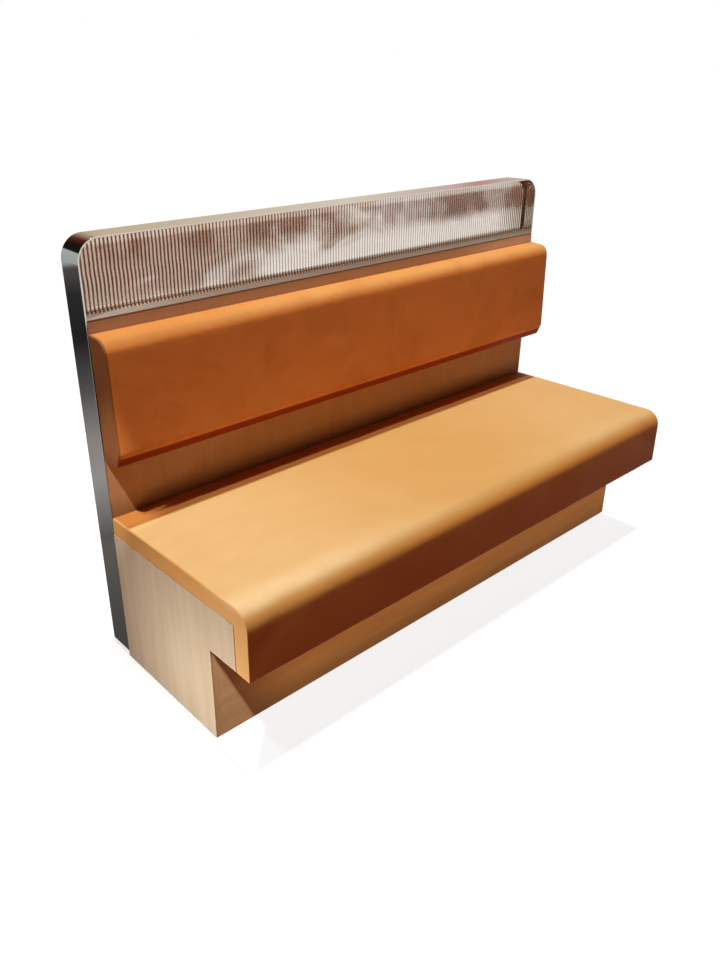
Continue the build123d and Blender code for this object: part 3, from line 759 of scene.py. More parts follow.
CLOTH = {
    "use_pressure": True, "uniform_pressure_force": 4.0, "vertex_group_mass": "held",
    "quality": 4, "mass": 0.4, "tension_stiffness": 25.0, "compression_stiffness": 25.0,
    "shear_stiffness": 12.0, "bending_stiffness": 2.0,
}
CLOTH_FRAMES = 20


def swollen(mesh, held, swell):
    """The mesh after a cloth simulation under pressure, scaled so no point moves over swell."""
    rest = [vertex.co.copy() for vertex in mesh.vertices]
    holder = linked_object("helper", mesh)
    group = holder.vertex_groups.new(name="held")
    group.add([index for index, point in enumerate(rest) if held(point)], 1.0, "REPLACE")
    settings = holder.modifiers.new("cloth", "CLOTH").settings
    for key, value in CLOTH.items():
        setattr(settings, key, value)
    settings.effector_weights.gravity = 0.0
    scene = bpy.context.scene
    for step in range(1, CLOTH_FRAMES + 1):
        scene.frame_set(step)
    moved = flattened(holder)
    shifts = [vertex.co - point for vertex, point in zip(moved.vertices, rest)]
    most = max(shift.length for shift in shifts)
    share = min(1.0, swell / most) if most > 0 else 0.0
    for vertex, point, shift in zip(moved.vertices, rest, shifts):
        vertex.co = point + shift * share
    scene.frame_set(1)
    return moved


DENT_DEPTH = 0.7 * MM
DENT_SCALE = 7.0


def dented(mesh, moves, seed):
    """Shallow uneven spots, as foam under leather has, where moves allows them."""
    shift = Vector((seed, 2 * seed, 3 * seed))
    normals = [normal.vector.copy() for normal in mesh.vertex_normals]
    for vertex, normal in zip(mesh.vertices, normals):
        amount = moves(vertex.co)
        if amount > 0:
            wide = noise.noise(vertex.co * DENT_SCALE + shift)
            small = noise.noise(vertex.co * 3 * DENT_SCALE + shift)
            vertex.co += normal * ((wide + 0.5 * small) * DENT_DEPTH * amount)


# The metal band and the sill

BAND_CORNER_STEPS = 32


class BENCH_OT_metal_frame(bpy.types.Operator):
    """Make the folded steel band round the back, and the sill under the glass"""
    bl_idname = "bench.metal_frame"
    bl_label = "Metal band and sill"

    def execute(self, context):
        sizes = context.scene.bench_sizes
        half, top = BAND_HIGH.x, BAND_HIGH.z
        radius = sizes.band_corner
        path = [(-half, 0.0, math.pi), (-half, top - radius, math.pi)]
        for step in range(1, BAND_CORNER_STEPS):
            angle = math.pi - math.pi / 2 * step / BAND_CORNER_STEPS
            path.append((radius - half + radius * math.cos(angle),
                         top - radius + radius * math.sin(angle), angle))
        path.append((radius - half, top, math.pi / 2))
        path += [(-x, z, math.pi - angle) for x, z, angle in reversed(path)]
        section = rounded_rectangle(sizes.band_wall, BAND_HIGH.y - BAND_LOW.y, sizes.edge_round)

        def station(x, z, angle):
            inward = Vector((-math.cos(angle), 0, -math.sin(angle)))
            return lambda point: Vector((x, BAND_LOW.y + point[1], z)) + inward * point[0]

        band = faced(swept_mesh(section, [station(*step) for step in path]))
        piece_from("steel_band", band, "band_steel", ["metal_band"])
        sill = eased_copy("window_sill", sizes.edge_round)
        piece_from("steel_sill", sill, "sill_steel", ["window_sill"])
        return {"FINISHED"}


# Node trees, and the reeded glass made by one

def started_tree(name, sockets):
    """A geometry tree with these inputs: its graph, its inputs' wires and their identifiers."""
    tree = bpy.data.node_groups.new(name, "GeometryNodeTree")
    identifiers = {}
    for label, kind in sockets.items():
        identifiers[label] = tree.interface.new_socket(
            name=label, in_out="INPUT", socket_type=f"NodeSocket{kind}").identifier
    tree.interface.new_socket(name="Geometry", in_out="OUTPUT", socket_type="NodeSocketGeometry")
    g = Graph(tree)
    return g, g.add("NodeGroupInput").beside(), identifiers


def ended_tree(g, geometry, material):
    """Ends a tree in plain faces with their finish."""
    real = g.add("GeometryNodeRealizeInstances", {}, {"Geometry": geometry})
    dressed = g.add("GeometryNodeSetMaterial", {}, {"Geometry": real, "Material": material})
    g.add("NodeGroupOutput", {}, {0: dressed})


def grown_mesh(g, identifiers, values, base):
    """The plain mesh that a tree makes from a base mesh with these named inputs."""
    holder = linked_object("helper", base)
    modifier = holder.modifiers.new("tree", "NODES")
    modifier.node_group = g.tree
    for label, value in values.items():
        modifier[identifiers[label]] = value
    return flattened(holder)


def reeded_pane_tree():
    """A tree that bends a grid into a closed pane: reeded in front, flat behind, round on top."""
    g, given, identifiers = started_tree("Reeded pane", {
        "Half width": "Float", "Foot": "Float", "Top": "Float", "Corner radius": "Float",
        "Flat front": "Float", "Rear": "Float", "Reed rise": "Float", "Reeds": "Int",
        "Steps": "Int", "Finish": "Material"})
    half, foot, rise = given["Half width"], given["Foot"], given["Reed rise"]
    columns = given["Reeds"] * given["Steps"]
    step = half * 2.0 / columns
    # The grid's five rows go round the pane: front foot, front top, rear top, rear foot, and
    # the front foot again.
    grid = g.add("GeometryNodeMeshGrid", {}, {
        "Size X": step * (columns + 2.0), "Size Y": 4.0,
        "Vertices X": columns + 3.0, "Vertices Y": 5})
    raw_x, row = g.apart(g.add("GeometryNodeInputPosition"), "XY")
    is_top = (row > -1.5) * (row < 0.5)
    is_rear = (row > -0.5) * (row < 1.5)
    x = raw_x.maths("MINIMUM", half).maths("MAXIMUM", half * -1.0)
    # The upper corners are quarter circles.
    radius = given["Corner radius"]
    over = (x.maths("ABSOLUTE") - (half - radius)).maths("MAXIMUM", 0.0).maths("MINIMUM", radius)
    fall = radius - (radius * radius - over * over).maths("MAXIMUM", 0.0).maths("SQRT")
    top = given["Top"] - fall
    # Each reed is a shallow arc between two cusps.
    reed_half = half / given["Reeds"]
    arc_radius = (reed_half * reed_half + rise * rise) / (rise * 2.0)
    reach = ((x + half) % (reed_half * 2.0)) - reed_half
    bulge = (arc_radius * arc_radius - reach * reach).maths("SQRT") - (arc_radius - rise)
    front = given["Flat front"] - bulge.maths("MAXIMUM", 0.0)
    y = front + (given["Rear"] - front) * is_rear
    z = foot + (top - foot) * is_top
    # The column beyond each end closes it in one point.
    beyond = raw_x.maths("ABSOLUTE") > half + step * 0.5
    y = y + ((given["Flat front"] + given["Rear"]) * 0.5 - y) * beyond
    z = z + ((foot + top) * 0.5 - z) * beyond
    place = g.add("ShaderNodeCombineXYZ", {}, {0: x, 1: y, 2: z})
    bent = g.add("GeometryNodeSetPosition", {}, {"Geometry": grid, "Position": place})
    closed = g.add("GeometryNodeMergeByDistance", {},
                   {"Geometry": bent, "Distance": MERGE_DISTANCE})
    ended_tree(g, closed, given["Finish"])
    return g, identifiers


class BENCH_OT_reeded_glass(bpy.types.Operator):
    """Make the pane of reeded glass over the sill"""
    bl_idname = "bench.reeded_glass"
    bl_label = "Reeded glass"

    def execute(self, context):
        sizes = context.scene.bench_sizes
        inset = BAND_HIGH.x - sizes.band_wall - GLASS_HIGH.x
        pane = grown_mesh(*reeded_pane_tree(), {
            "Half width": GLASS_HIGH.x,
            "Foot": GLASS_LOW.z,
            "Top": GLASS_HIGH.z,
            "Corner radius": sizes.band_corner - sizes.band_wall - inset,
            "Flat front": GLASS_LOW.y + sizes.reed_rise,
            "Rear": GLASS_HIGH.y,
            "Reed rise": sizes.reed_rise,
            "Reeds": sizes.reed_count,
            "Steps": sizes.reed_steps,
            "Finish": finish("reeded_glass"),
        }, bpy.data.meshes.new("empty"))
        shape = bmesh.new()
        shape.from_mesh(pane)
        piece_from("reeded_pane", closed_mesh(shape, pane), "reeded_glass",
                   ["reeded_glass"], smooth_angle=35)
        return {"FINISHED"}


# Oak panels

class BENCH_OT_oak_panels(bpy.types.Operator):
    """Make the oak ends, plinth and soffit with eased edges"""
    bl_idname = "bench.oak_panels"
    bl_label = "Oak panels"

    def execute(self, context):
        ease = context.scene.bench_sizes.edge_round
        for node_name, piece_name, finish_name in (
                ("end_panel_left", "oak_end_left", "oak_end"),
                ("end_panel_right", "oak_end_right", "oak_end"),
                ("plinth_front_board", "oak_plinth", "oak_plinth"),
                ("soffit_board", "oak_soffit", "oak_plinth")):
            piece_from(piece_name, eased_copy(node_name, ease), finish_name,
                       [node_name])
        return {"FINISHED"}


# Leather pads

# How far the rows of faces that keep an edge tight stay from it
HEM = 5 * MM
EDGE = 14 * MM
HOLD = 6 * MM
END_INSET = 1.2 * MM
NOSE_STEPS = 6


def nose_arc(y, z, radius):
    """Points of (y, z) round a pad's front edge, from (y, z) on its top down to its face."""
    angles = [math.pi / 2 * step / NOSE_STEPS for step in range(1, NOSE_STEPS + 1)]
    return [(y - radius * math.sin(angle), z - radius + radius * math.cos(angle))
            for angle in angles]


def seat_profiles(sizes, inset):
    """The seat's outer and inner profiles, from the top's rear edge to the apron's foot."""
    top, front, rear, foot = SEAT_HIGH.z - inset, SEAT_LOW.y + inset, SEAT_HIGH.y, SEAT_LOW.z
    wood_front, wood_top = END_LOW.y, END_HIGH.z
    radius = sizes.nose_radius
    flat, drop = rear - (front + radius), top - radius - foot
    # The inner profile turns the wood's corner in step with the nose, from pull before it to
    # pull under it.
    pull = 20 * MM
    top_rows, apron_rows = 20, 5
    outer, inner = [], []
    for run in [0.0, HEM, EDGE] + spread(EDGE, flat, top_rows)[1:]:
        outer.append((rear - run, top))
        inner.append((rear - run * (rear - wood_front - pull) / flat, wood_top))
    outer += nose_arc(front + radius, top, radius)
    for share in spread(0.0, 1.0, NOSE_STEPS)[1:]:
        inner.append((wood_front + pull * max(0.0, 1 - 2 * share),
                      wood_top - pull * max(0.0, 2 * share - 1)))
    for fall in spread(0.0, drop - EDGE, apron_rows)[1:] + [drop - HEM, drop]:
        outer.append((front, top - radius - fall))
        inner.append((wood_front, wood_top - pull - fall * (wood_top - pull - foot) / drop))
    return outer, inner


def pad_profiles(sizes, inset):
    """The back pad's outer and inner profiles, from the top's rear edge round to the foot's."""
    top, foot = PAD_HIGH.z - inset, PAD_LOW.z + inset
    face, rear = PAD_LOW.y + inset, PAD_HIGH.y
    rake, fall = 7 * MM, 2.2 * MM
    bevel_run, bevel_rise, turn = 15 * MM, 38 * MM, 2.4 * MM
    face_rows = 11
    nose_y, nose_z = face + rake + sizes.pad_nose_radius, top - fall
    outer = [(rear, top), (rear - HEM, top - 0.3 * MM), (rear - EDGE, top - 0.8 * MM)]
    outer += [(y, top - fall * (rear - y) / (rear - nose_y))
              for y in spread(rear - EDGE, nose_y, 2)[1:]]
    outer += nose_arc(nose_y, nose_z, sizes.pad_nose_radius)
    high, low = outer[-1], (face, foot + bevel_rise)
    outer += [(high[0] + (low[0] - high[0]) * share, high[1] + (low[1] - high[1]) * share)
              for share in spread(0.0, 1.0, face_rows)[1:-1]]
    outer += [(face + 0.1 * MM, low[1] + HOLD), low, (face + turn, low[1] - HOLD),
              (face + bevel_run * 0.5, foot + bevel_rise * 0.5),
              (face + bevel_run - turn, foot + HOLD), (face + bevel_run, foot),
              (face + bevel_run + HOLD, foot)]
    outer += [(y, foot) for y in spread(face + bevel_run + HOLD, rear - 12 * MM, 2)[1:]]
    outer += [(rear - HEM, foot), (rear, foot)]
    # Rear points go down the board in step with the length along the outside.
    lengths = [0.0]
    for first, second in zip(outer, outer[1:]):
        lengths.append(lengths[-1] + math.dist(first, second))
    inner = [(rear, top + (foot - top) * length / lengths[-1]) for length in lengths]
    return outer, inner


def end_stations(half, tight, count):
    """Places along the bench, closer together near both ends."""
    near = [half - inward
            for inward in (0.0, tight, 2.4 * tight, 5 * tight, 5 * tight + 20 * MM)]
    return [-x for x in near[:-1]] + spread(-near[-1], near[-1], count) + near[-2::-1]


def stuffed(mesh, held, swell, soft, seed):
    """A slab as a stuffed pad: swollen where it isn't held, rounded, and dented where soft."""
    mesh = swollen(mesh, held, swell)
    mesh = modified(mesh, "SUBSURF", levels=2, render_levels=2)
    dented(mesh, soft, seed)
    return mesh


class BENCH_OT_leather_pads(bpy.types.Operator):
    """Make the leather seat pad and back pad, swollen by their foam"""
    bl_idname = "bench.leather_pads"
    bl_label = "Leather pads"

    def execute(self, context):
        self.make_seat(context.scene.bench_sizes)
        self.make_back(context.scene.bench_sizes)
        return {"FINISHED"}

    def make_seat(self, sizes):
        half = SEAT_HIGH.x - END_INSET
        wood_front, wood_top = END_LOW.y, END_HIGH.z
        margin = 1 * MM

        def held(point):
            on_wood = point.z < wood_top + margin and point.y > wood_front - margin
            at_rear = point.y > SEAT_HIGH.y - margin
            at_foot = point.z < SEAT_LOW.z + margin
            return on_wood or at_rear or at_foot

        def soft(point):
            """1 where foam lies above or before the wood, away from both ends."""
            above = ramp(point.z - wood_top - 20 * MM, 15 * MM)
            ahead = ramp(wood_front - 15 * MM - point.y, 15 * MM)
            return max(above, ahead) * ramp(half - 8 * MM - abs(point.x), 40 * MM)

        stations = end_stations(half, tight=1.6 * MM, count=68)
        layers = [0, 0.08, 0.3, 0.7, 1]
        slab = slab_mesh(*seat_profiles(sizes, inset=2.5 * MM), stations, layers)
        mesh = stuffed(slab, held, sizes.seat_swell, soft, seed=3.0)
        seat = piece_from("seat_pad", mesh, "leather_seat",
                          ["seat_cover", "seat_foam"], smooth_angle=60)

    def make_back(self, sizes):
        half = PAD_HIGH.x - END_INSET

        def held(point):
            return point.y > PAD_HIGH.y - 1 * MM

        def soft(point):
            """1 where foam lies before the board, away from both ends."""
            ahead = ramp(PAD_HIGH.y - 25 * MM - point.y, 20 * MM)
            return ahead * ramp(half - 10 * MM - abs(point.x), 40 * MM)

        stations = end_stations(half, tight=6 * MM, count=74)
        layers = [0, 0.09, 0.35, 0.75, 1]
        slab = slab_mesh(*pad_profiles(sizes, inset=1.5 * MM), stations, layers)
        mesh = stuffed(slab, held, sizes.pad_swell, soft, seed=8.0)
        pad = piece_from("back_pad", mesh, "leather_pad",
                         ["back_cushion_cover", "back_cushion_foam"], smooth_angle=60)


# Rear board, with screws made by a node tree

def screw_tree():
    """A tree that puts a slotted flat headed screw on every point of a mesh, facing the rear."""
    g, given, identifiers = started_tree("Screw heads", {
        "Geometry": "Geometry", "Head radius": "Float", "Head rise": "Float",
        "Finish": "Material"})
    radius, rise = given["Head radius"], given["Head rise"]
    head = g.add("GeometryNodeMeshCone", {}, {
        "Vertices": 24, "Radius Top": radius * 0.78, "Radius Bottom": radius, "Depth": rise})
    slot_size = g.add("ShaderNodeCombineXYZ", {}, {
        0: radius * 3.0, 1: radius * 0.24, 2: rise * 1.2})
    cutter = g.add("GeometryNodeMeshCube", {}, {"Size": slot_size})
    lift = g.add("ShaderNodeCombineXYZ", {}, {2: rise})
    raised = g.add("GeometryNodeTransform", {}, {"Geometry": cutter, "Translation": lift})
    cut = g.add("GeometryNodeMeshBoolean", {"operation": "DIFFERENCE", "solver": "EXACT"},
                {"Mesh 1": head, "Mesh 2": raised})
    turned = g.add("GeometryNodeTransform", {}, {
        "Geometry": cut, "Rotation": (-math.pi / 2, 0, 0)})
    angle = g.add("FunctionNodeRandomValue", {"data_type": "FLOAT"},
                  {2: 0.0, 3: math.pi, "Seed": 7}, output=1)
    spin = g.add("ShaderNodeCombineXYZ", {}, {1: angle})
    placed = g.add("GeometryNodeInstanceOnPoints", {}, {
        "Points": given["Geometry"], "Instance": turned, "Rotation": spin})
    ended_tree(g, placed, given["Finish"])
    return g, identifiers


class BENCH_OT_rear_board(bpy.types.Operator):
    """Make the rear board of the back and the screws round it"""
    bl_idname = "bench.rear_board"
    bl_label = "Rear board and screws"

    def execute(self, context):
        sizes = context.scene.bench_sizes
        piece_from("rear_panel", eased_copy("back_rear_board", sizes.edge_round),
                   "back_laminate", ["back_rear_board"])
        inset, rise = 24 * MM, 0.8 * MM
        depth = REAR_HIGH.y - 0.35 * rise
        side, low, high = REAR_HIGH.x - inset, inset, REAR_HIGH.z - inset
        columns = max(1, round(side * 2 / sizes.screw_spacing))
        rows = max(1, round((high - low) / sizes.screw_spacing))
        places = [(x, z) for x in spread(-side, side, columns) for z in (low, high)]
        places += [(x, z) for z in spread(low, high, rows)[1:-1] for x in (-side, side)]
        points = bpy.data.meshes.new("screw places")
        points.from_pydata([(x, depth, z) for x, z in places], [], [])
        heads = grown_mesh(*screw_tree(), {
            "Head radius": 4.5 * MM, "Head rise": rise, "Finish": finish("zinc_steel")}, points)
        piece_from("rear_screws", heads, "zinc_steel", smooth_angle=30)
        return {"FINISHED"}


# Finishes of the pieces that keep their shape

FEET = [f"{y}_{x}" for y in ("front", "rear") for x in ("left", "right")]
CARRIED = {
    "oak_back": ["back_front_board"],
    "gasket_rubber": ["glazing_gasket"],
    "plywood": ["seat_deck", "apron_board", "base_rear_board", "inner_rib_left",
                "inner_rib_centre", "inner_rib_right", "overhang_brackets",
                "back_cushion_board"],
    "pine": ["back_stile_left", "back_stile_right", "back_studs", "back_bottom_rail",
             "back_seat_rail", "back_cushion_rail", "back_top_rail", "end_battens",
             "corner_blocks"],
    "zinc_steel": ["cushion_bolts", "cushion_tee_nuts", "deck_screws", "joining_bolts",
                   "joining_inserts", "glide_inserts", "floor_angles", "angle_screws",
                   *(f"glide_stem_{foot}" for foot in FEET)],
    "glide_plastic": [f"glide_pad_{foot}" for foot in FEET],
    "leather": ["seat_cover", "back_cushion_cover"],
    "foam": ["seat_foam", "back_cushion_foam"],
}


class BENCH_OT_carried_finishes(bpy.types.Operator):
    """Give every piece that keeps its own shape its finish"""
    bl_idname = "bench.carried_finishes"
    bl_label = "Finishes of the frame"

    def execute(self, context):
        for finish_name, node_names in CARRIED.items():
            for node_name in node_names:
                for material_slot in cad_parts[node_name].material_slots:
                    material_slot.material = finish(finish_name)
        return {"FINISHED"}


# Floor, cards, lamps and camera

FLOOR_REACH = 14.0
FLOOR_LEVEL = -0.5 * MM
FLOOR_LIGHT = (0.22, 0.045, 0.016)
WORLD_LIGHT = (1.0, 0.42, 0.25)
WHITE = (1.0, 1.0, 1.0)
WARM = (1.0, 1.0, 0.96)
NIGHT = (0.010, 0.006, 0.006)
CREAM = (0.42, 0.32, 0.23)
GREIGE = (0.46, 0.44, 0.43)


def grey(value):
    """A neutral colour."""
    return (value, value, value)


def upright(first, second, low, high):
    """Corners of an upright sheet between two places on the floor."""
    return [(*first, low), (*second, low), (*second, high), (*first, high)]


def level(x_low, x_high, y_low, y_high, z):
    """Corners of a level sheet."""
    return [(x_low, y_low, z), (x_high, y_low, z), (x_high, y_high, z), (x_low, y_high, z)]


CARDS = {
    # name: corners, one colour or a run of colours (axis, start, end, stops), and whether it is
    # seen only through the glass, or else only by gloss
    "card_upright": (upright((-1.90, 0.74), (-1.02, 0.95), 0.0, 1.68), ("Z", 0.0, 1.68, [
        (0.0, grey(0.10)), (0.15, (0.34, 0.34, 0.35)), (0.24, (0.28, 0.28, 0.29)),
        (0.34, grey(0.10)), (0.45, grey(0.018)), (0.54, (0.028, 0.028, 0.030)),
        (0.59, (0.085, 0.085, 0.088)), (0.60, (0.38, 0.43, 0.46)), (0.78, (0.44, 0.50, 0.53)),
        (0.79, (0.012, 0.011, 0.011)), (1.0, NIGHT)]), False),
    "card_corner": (upright((-1.02, 0.95), (-0.64, 0.95), 0.0, 2.6), ("X", -1.02, -0.64, [
        (0.0, NIGHT), (0.25, (0.06, 0.012, 0.009)), (0.55, (0.10, 0.03, 0.02)),
        (0.85, (0.28, 0.17, 0.12)), (1.0, CREAM)]), False),
    "card_far": (upright((-0.75, 2.5), (4.6, 2.5), 1.2, 2.4), ("X", -0.35, 4.6, [
        (0.0, (0.40, 0.25, 0.16)), (0.08, CREAM), (0.13, (0.60, 0.49, 0.36)),
        (0.49, (0.72, 0.65, 0.55)), (0.69, (0.60, 0.48, 0.42)), (0.76, (0.56, 0.29, 0.26)),
        (0.83, (0.58, 0.47, 0.41)), (1.0, (0.54, 0.46, 0.38))]), False),
    "card_flat": (level(-2.1, -0.91, 0.26, 1.1, 0.2 * MM), ("Y", 0.39, 0.84, [
        (0.0, (0.072, 0.071, 0.071)), (1.0, (0.120, 0.118, 0.117))]), False),
    "card_behind": (upright((-2.2, 1.5), (-0.55, 1.5), 0.3, 1.15), (0.11, 0.075, 0.068), True),
    "card_above": (upright((-1.2, 1.5), (4.5, 1.5), 1.2, 3.2), ("X", -1.2, 4.5, [
        (0.0, GREIGE), (0.40, GREIGE), (0.43, (0.44, 0.10, 0.11)), (0.48, (0.44, 0.12, 0.12)),
        (0.52, GREIGE), (1.0, GREIGE)]), True),
    "card_front": (level(-0.8, 1.2, -3.2, -0.95, 0.2 * MM), (0.16, 0.07, 0.045), False),
}


def bulb(radius):
    """Settings of a point lamp."""
    return {"shadow_soft_size": radius}


def beam(cone, blend, radius):
    """Settings of a spot lamp: its cone in degrees, the soft share of it, and its radius."""
    return {"spot_size": math.radians(cone), "spot_blend": blend, "shadow_soft_size": radius}


def panel(width, height, cone):
    """Settings of a soft box: its size, and the spread of its light in degrees."""
    return {"shape": "RECTANGLE", "size": width, "size_y": height, "spread": math.radians(cone)}


DOWN = (0, 0, -1)
TOE_LAMP = (-1.43, -0.858, 1.48)
LAMPS = (
    # name, kind, place, direction, strength, colour, whether gloss shows it, own settings
    ("key_left", "POINT", (-1.77, -0.12, 2.70), DOWN, 76.0, WARM, True, bulb(30 * MM)),
    ("key_right", "POINT", (0.75, -0.12, 2.70), DOWN, 45.0, WARM, False, bulb(30 * MM)),
    ("overhead", "SUN", (0, 0, 4), (-0.05, 0.0, -1.0), 1.74, WARM, True,
     {"angle": math.radians(2.5)}),
    ("left_fill", "AREA", (-2.20, -0.20, 0.09), (1.0, -0.03, 0.02), 1.55, (0.97, 1.0, 0.95),
     True, panel(0.5, 0.12, 55)),
    ("toe_spot", "SPOT", TOE_LAMP, (0.53, 0.59, -1.35), 90.0, (1.0, 1.0, 0.95),
     True, beam(15, 0.15, 0.5 * MM)),
    ("corner_spot", "SPOT", (-1.77, -0.34, 2.70), (0.90, 0.597, -2.20), 190.0, WARM,
     True, beam(5.5, 0.8, 20 * MM)),
    ("plinth_strip", "AREA", (0.45, -1.9, 0.09), (0, 1.0, 0.0), 0.53, (1.0, 0.60, 0.26),
     True, panel(2.4, 0.06, 12)),
    ("rear_fill", "AREA", (0.0, 2.4, 0.45), (0, -1.0, 0.03), 14.0, WARM,
     False, panel(2.0, 0.6, 90)),
    ("right_fill", "AREA", (2.4, 0.10, 0.22), (-1.0, 0, 0), 2.3, WARM,
     False, panel(0.45, 0.35, 70)),
)


def stage_sheet(name, corners, material, faces=((0, 1, 2, 3),)):
    """A thin sheet that belongs to the stage."""
    mesh = bpy.data.meshes.new(name)
    mesh.from_pydata(corners, [], faces)
    mesh.materials.append(material)
    sheet = linked_object(name, mesh)
    return sheet


def seen_share(graph):
    """1 for rays that show the background: from the camera, off gloss or through glass."""
    rays = graph.add("ShaderNodeLightPath").beside()
    return (rays["Is Camera Ray"] + rays["Is Glossy Ray"]
            + rays["Is Transmission Ray"]).clamped()


def floor_finish():
    """White where it is seen, with the bench's shadow, and reddish for the light it sends up."""
    f = Finish("studio_floor", grey(0.9))
    glow = f.add("ShaderNodeEmission", {}, {"Color": solid(WHITE), "Strength": 0.86})
    matte = f.add("ShaderNodeBsdfDiffuse", {}, {"Color": solid(grey(0.26))})
    shown = f.add("ShaderNodeAddShader", {}, {0: glow, 1: matte})
    sent = f.add("ShaderNodeBsdfDiffuse", {}, {"Color": solid(FLOOR_LIGHT)})
    return f.finished(f.add("ShaderNodeMixShader", {}, {0: seen_share(f), 1: sent, 2: shown}))


def card_finish(name, look):
    """A studio card that glows in one colour, or in a run of colours along one axis."""
    f = Finish(name, grey(0.1))
    if not isinstance(look[0], str):
        # one colour takes a ramp too: as a constant glow it changes the noise of the render
        look = ("Z", 0.0, 1.0, [(0.0, look), (1.0, look)])
    axis, low, high, stops = look
    run = (f.apart(f.place, axis)[0] - low) / (high - low)
    colour = f.add("ShaderNodeValToRGB", {"stops": stops}, {0: run})
    return f.finished(f.add("ShaderNodeEmission", {}, {"Color": colour, "Strength": 1.0}))


def toe_flag():
    """A small black card close to the toe lamp, cut so its light only enters the toe space."""
    front, rear = SEAT_LOW.y + 1 * MM, PLINTH_LOW.y - 1 * MM
    top, under = SEAT_LOW.z, -20 * MM
    distance = 0.12
    source = Vector(TOE_LAMP)
    opening = [Vector((END_LOW.x, y, z))
               for y, z in ((rear, under), (front, under), (front, top), (rear, top))]
    axis = (sum(opening, Vector()) / 4 - source).normalized()
    inner = [source + (corner - source) * (distance / (corner - source).dot(axis))
             for corner in opening]
    outer = [point + (point - source - axis * distance) * 3 for point in inner]
    faces = [(i, (i + 1) % 4, 4 + (i + 1) % 4, 4 + i) for i in range(4)]
    return stage_sheet("toe_flag", inner + outer, card_finish("toe_flag", grey(0.0)), faces)


def lamp(name, kind, place, direction, strength, colour, glossy, settings):
    """A lamp that the camera and the glass don't show."""
    data = bpy.data.lights.new(name, kind)
    data.energy = strength
    data.color = colour
    for key, value in settings.items():
        setattr(data, key, value)
    light = linked_object(name, data)
    light.rotation_mode = "QUATERNION"
    light.rotation_quaternion = Vector(direction).to_track_quat("-Z", "Y")
    light.location = place
    light.visible_camera = False
    light.visible_transmission = False
    light.visible_glossy = glossy


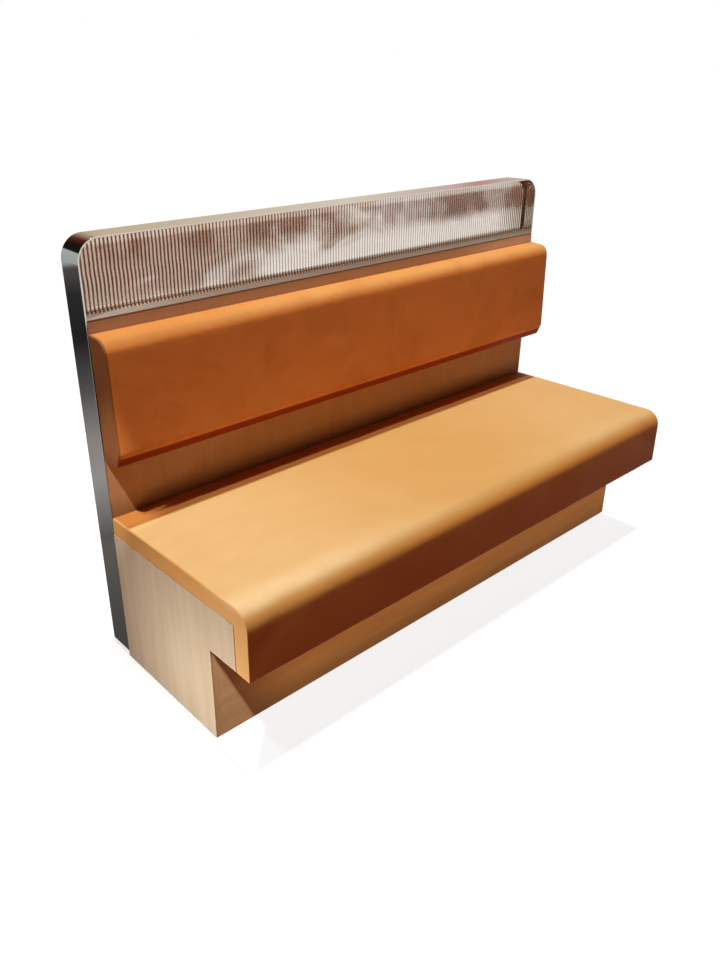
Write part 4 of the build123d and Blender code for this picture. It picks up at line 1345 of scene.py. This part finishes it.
class BENCH_OT_studio(bpy.types.Operator):
    """Make the floor, the world, the lamps, the reflector cards and the camera"""
    bl_idname = "bench.studio"
    bl_label = "Studio"

    def execute(self, context):
        scene = context.scene
        scene.view_settings.view_transform = "Standard"
        stage_sheet("studio_floor", level(-FLOOR_REACH, FLOOR_REACH, -FLOOR_REACH, FLOOR_REACH,
                                          FLOOR_LEVEL), floor_finish())
        self.make_world(scene)
        self.make_cards()
        self.make_lamps()
        self.make_camera(scene)
        return {"FINISHED"}

    def make_world(self, scene):
        world = bpy.data.worlds.new("studio")
        world.use_nodes = True
        scene.world = world
        world.node_tree.nodes.clear()
        g = Graph(world.node_tree)
        seen = g.add("ShaderNodeBackground", {}, {"Color": solid(WHITE), "Strength": 1.0})
        sent = g.add("ShaderNodeBackground", {}, {"Color": solid(WORLD_LIGHT), "Strength": 0.05})
        both = g.add("ShaderNodeMixShader", {}, {0: seen_share(g), 1: sent, 2: seen})
        g.add("ShaderNodeOutputWorld", {}, {"Surface": both})

    def make_cards(self):
        """Cards that only the steel and the glass reflect, and two seen only through the glass."""
        for name, (corners, look, through_glass) in CARDS.items():
            card = stage_sheet(name, corners, card_finish(name, look))
            card.visible_shadow = False
            card.visible_glossy = not through_glass
            card.visible_transmission = through_glass
            card.visible_camera = card.visible_diffuse = False
        flag = toe_flag()
        flag.visible_glossy = flag.visible_transmission = False
        flag.visible_camera = flag.visible_diffuse = False

    def make_lamps(self):
        for row in LAMPS:
            lamp(*row)

    def make_camera(self, scene):
        """The camera stands where the photograph's view of the bench was taken."""
        yaw, pitch, roll = 0.7104, 0.4363, -0.0128
        place = (-1.7383, -1.5594, 1.5146)
        forward = Vector((math.sin(yaw) * math.cos(pitch), math.cos(yaw) * math.cos(pitch),
                          -math.sin(pitch)))
        beside = Vector((math.cos(yaw), -math.sin(yaw), 0))
        raised = beside.cross(forward)
        right = beside * math.cos(roll) + raised * math.sin(roll)
        up = raised * math.cos(roll) - beside * math.sin(roll)
        data = bpy.data.cameras.new("camera")
        data.lens = 30.55
        data.sensor_width = 36.0
        data.shift_x = 0.0466
        data.shift_y = -0.0188
        camera = linked_object("camera", data)
        turn = Matrix((right, up, -forward)).transposed().to_4x4()
        camera.matrix_world = Matrix.Translation(place) @ turn
        scene.camera = camera


class BENCH_PT_sidebar(bpy.types.Panel):
    """Lists the bench's pieces, sizes and colours"""
    bl_idname = "BENCH_PT_sidebar"
    bl_label = "Booth bench"
    bl_space_type = "VIEW_3D"
    bl_region_type = "UI"
    bl_category = "Booth bench"

    def draw(self, context):
        for operator in OPERATORS:
            self.layout.operator(operator.bl_idname)
        for group in (context.scene.bench_sizes, context.scene.bench_colours):
            for name in group.bl_rna.properties.keys():
                if name not in ("rna_type", "name"):
                    self.layout.prop(group, name)


OPERATORS = (
    BENCH_OT_metal_frame,
    BENCH_OT_reeded_glass,
    BENCH_OT_oak_panels,
    BENCH_OT_leather_pads,
    BENCH_OT_rear_board,
    BENCH_OT_carried_finishes,
    BENCH_OT_studio,
)
CLASSES = (BenchSizes, BenchColours, *OPERATORS, BENCH_PT_sidebar)


def register():
    for cls in CLASSES:
        bpy.utils.register_class(cls)
    bpy.types.Scene.bench_sizes = bpy.props.PointerProperty(type=BenchSizes)
    bpy.types.Scene.bench_colours = bpy.props.PointerProperty(type=BenchColours)


def unregister():
    del bpy.types.Scene.bench_colours
    del bpy.types.Scene.bench_sizes
    for cls in reversed(CLASSES):
        bpy.utils.unregister_class(cls)


def main():
    register()
    bpy.ops.bench.metal_frame()
    bpy.ops.bench.reeded_glass()
    bpy.ops.bench.oak_panels()
    bpy.ops.bench.leather_pads()
    bpy.ops.bench.rear_board()
    bpy.ops.bench.carried_finishes()
    bpy.ops.bench.studio()


if __name__ == "__main__":
    main()
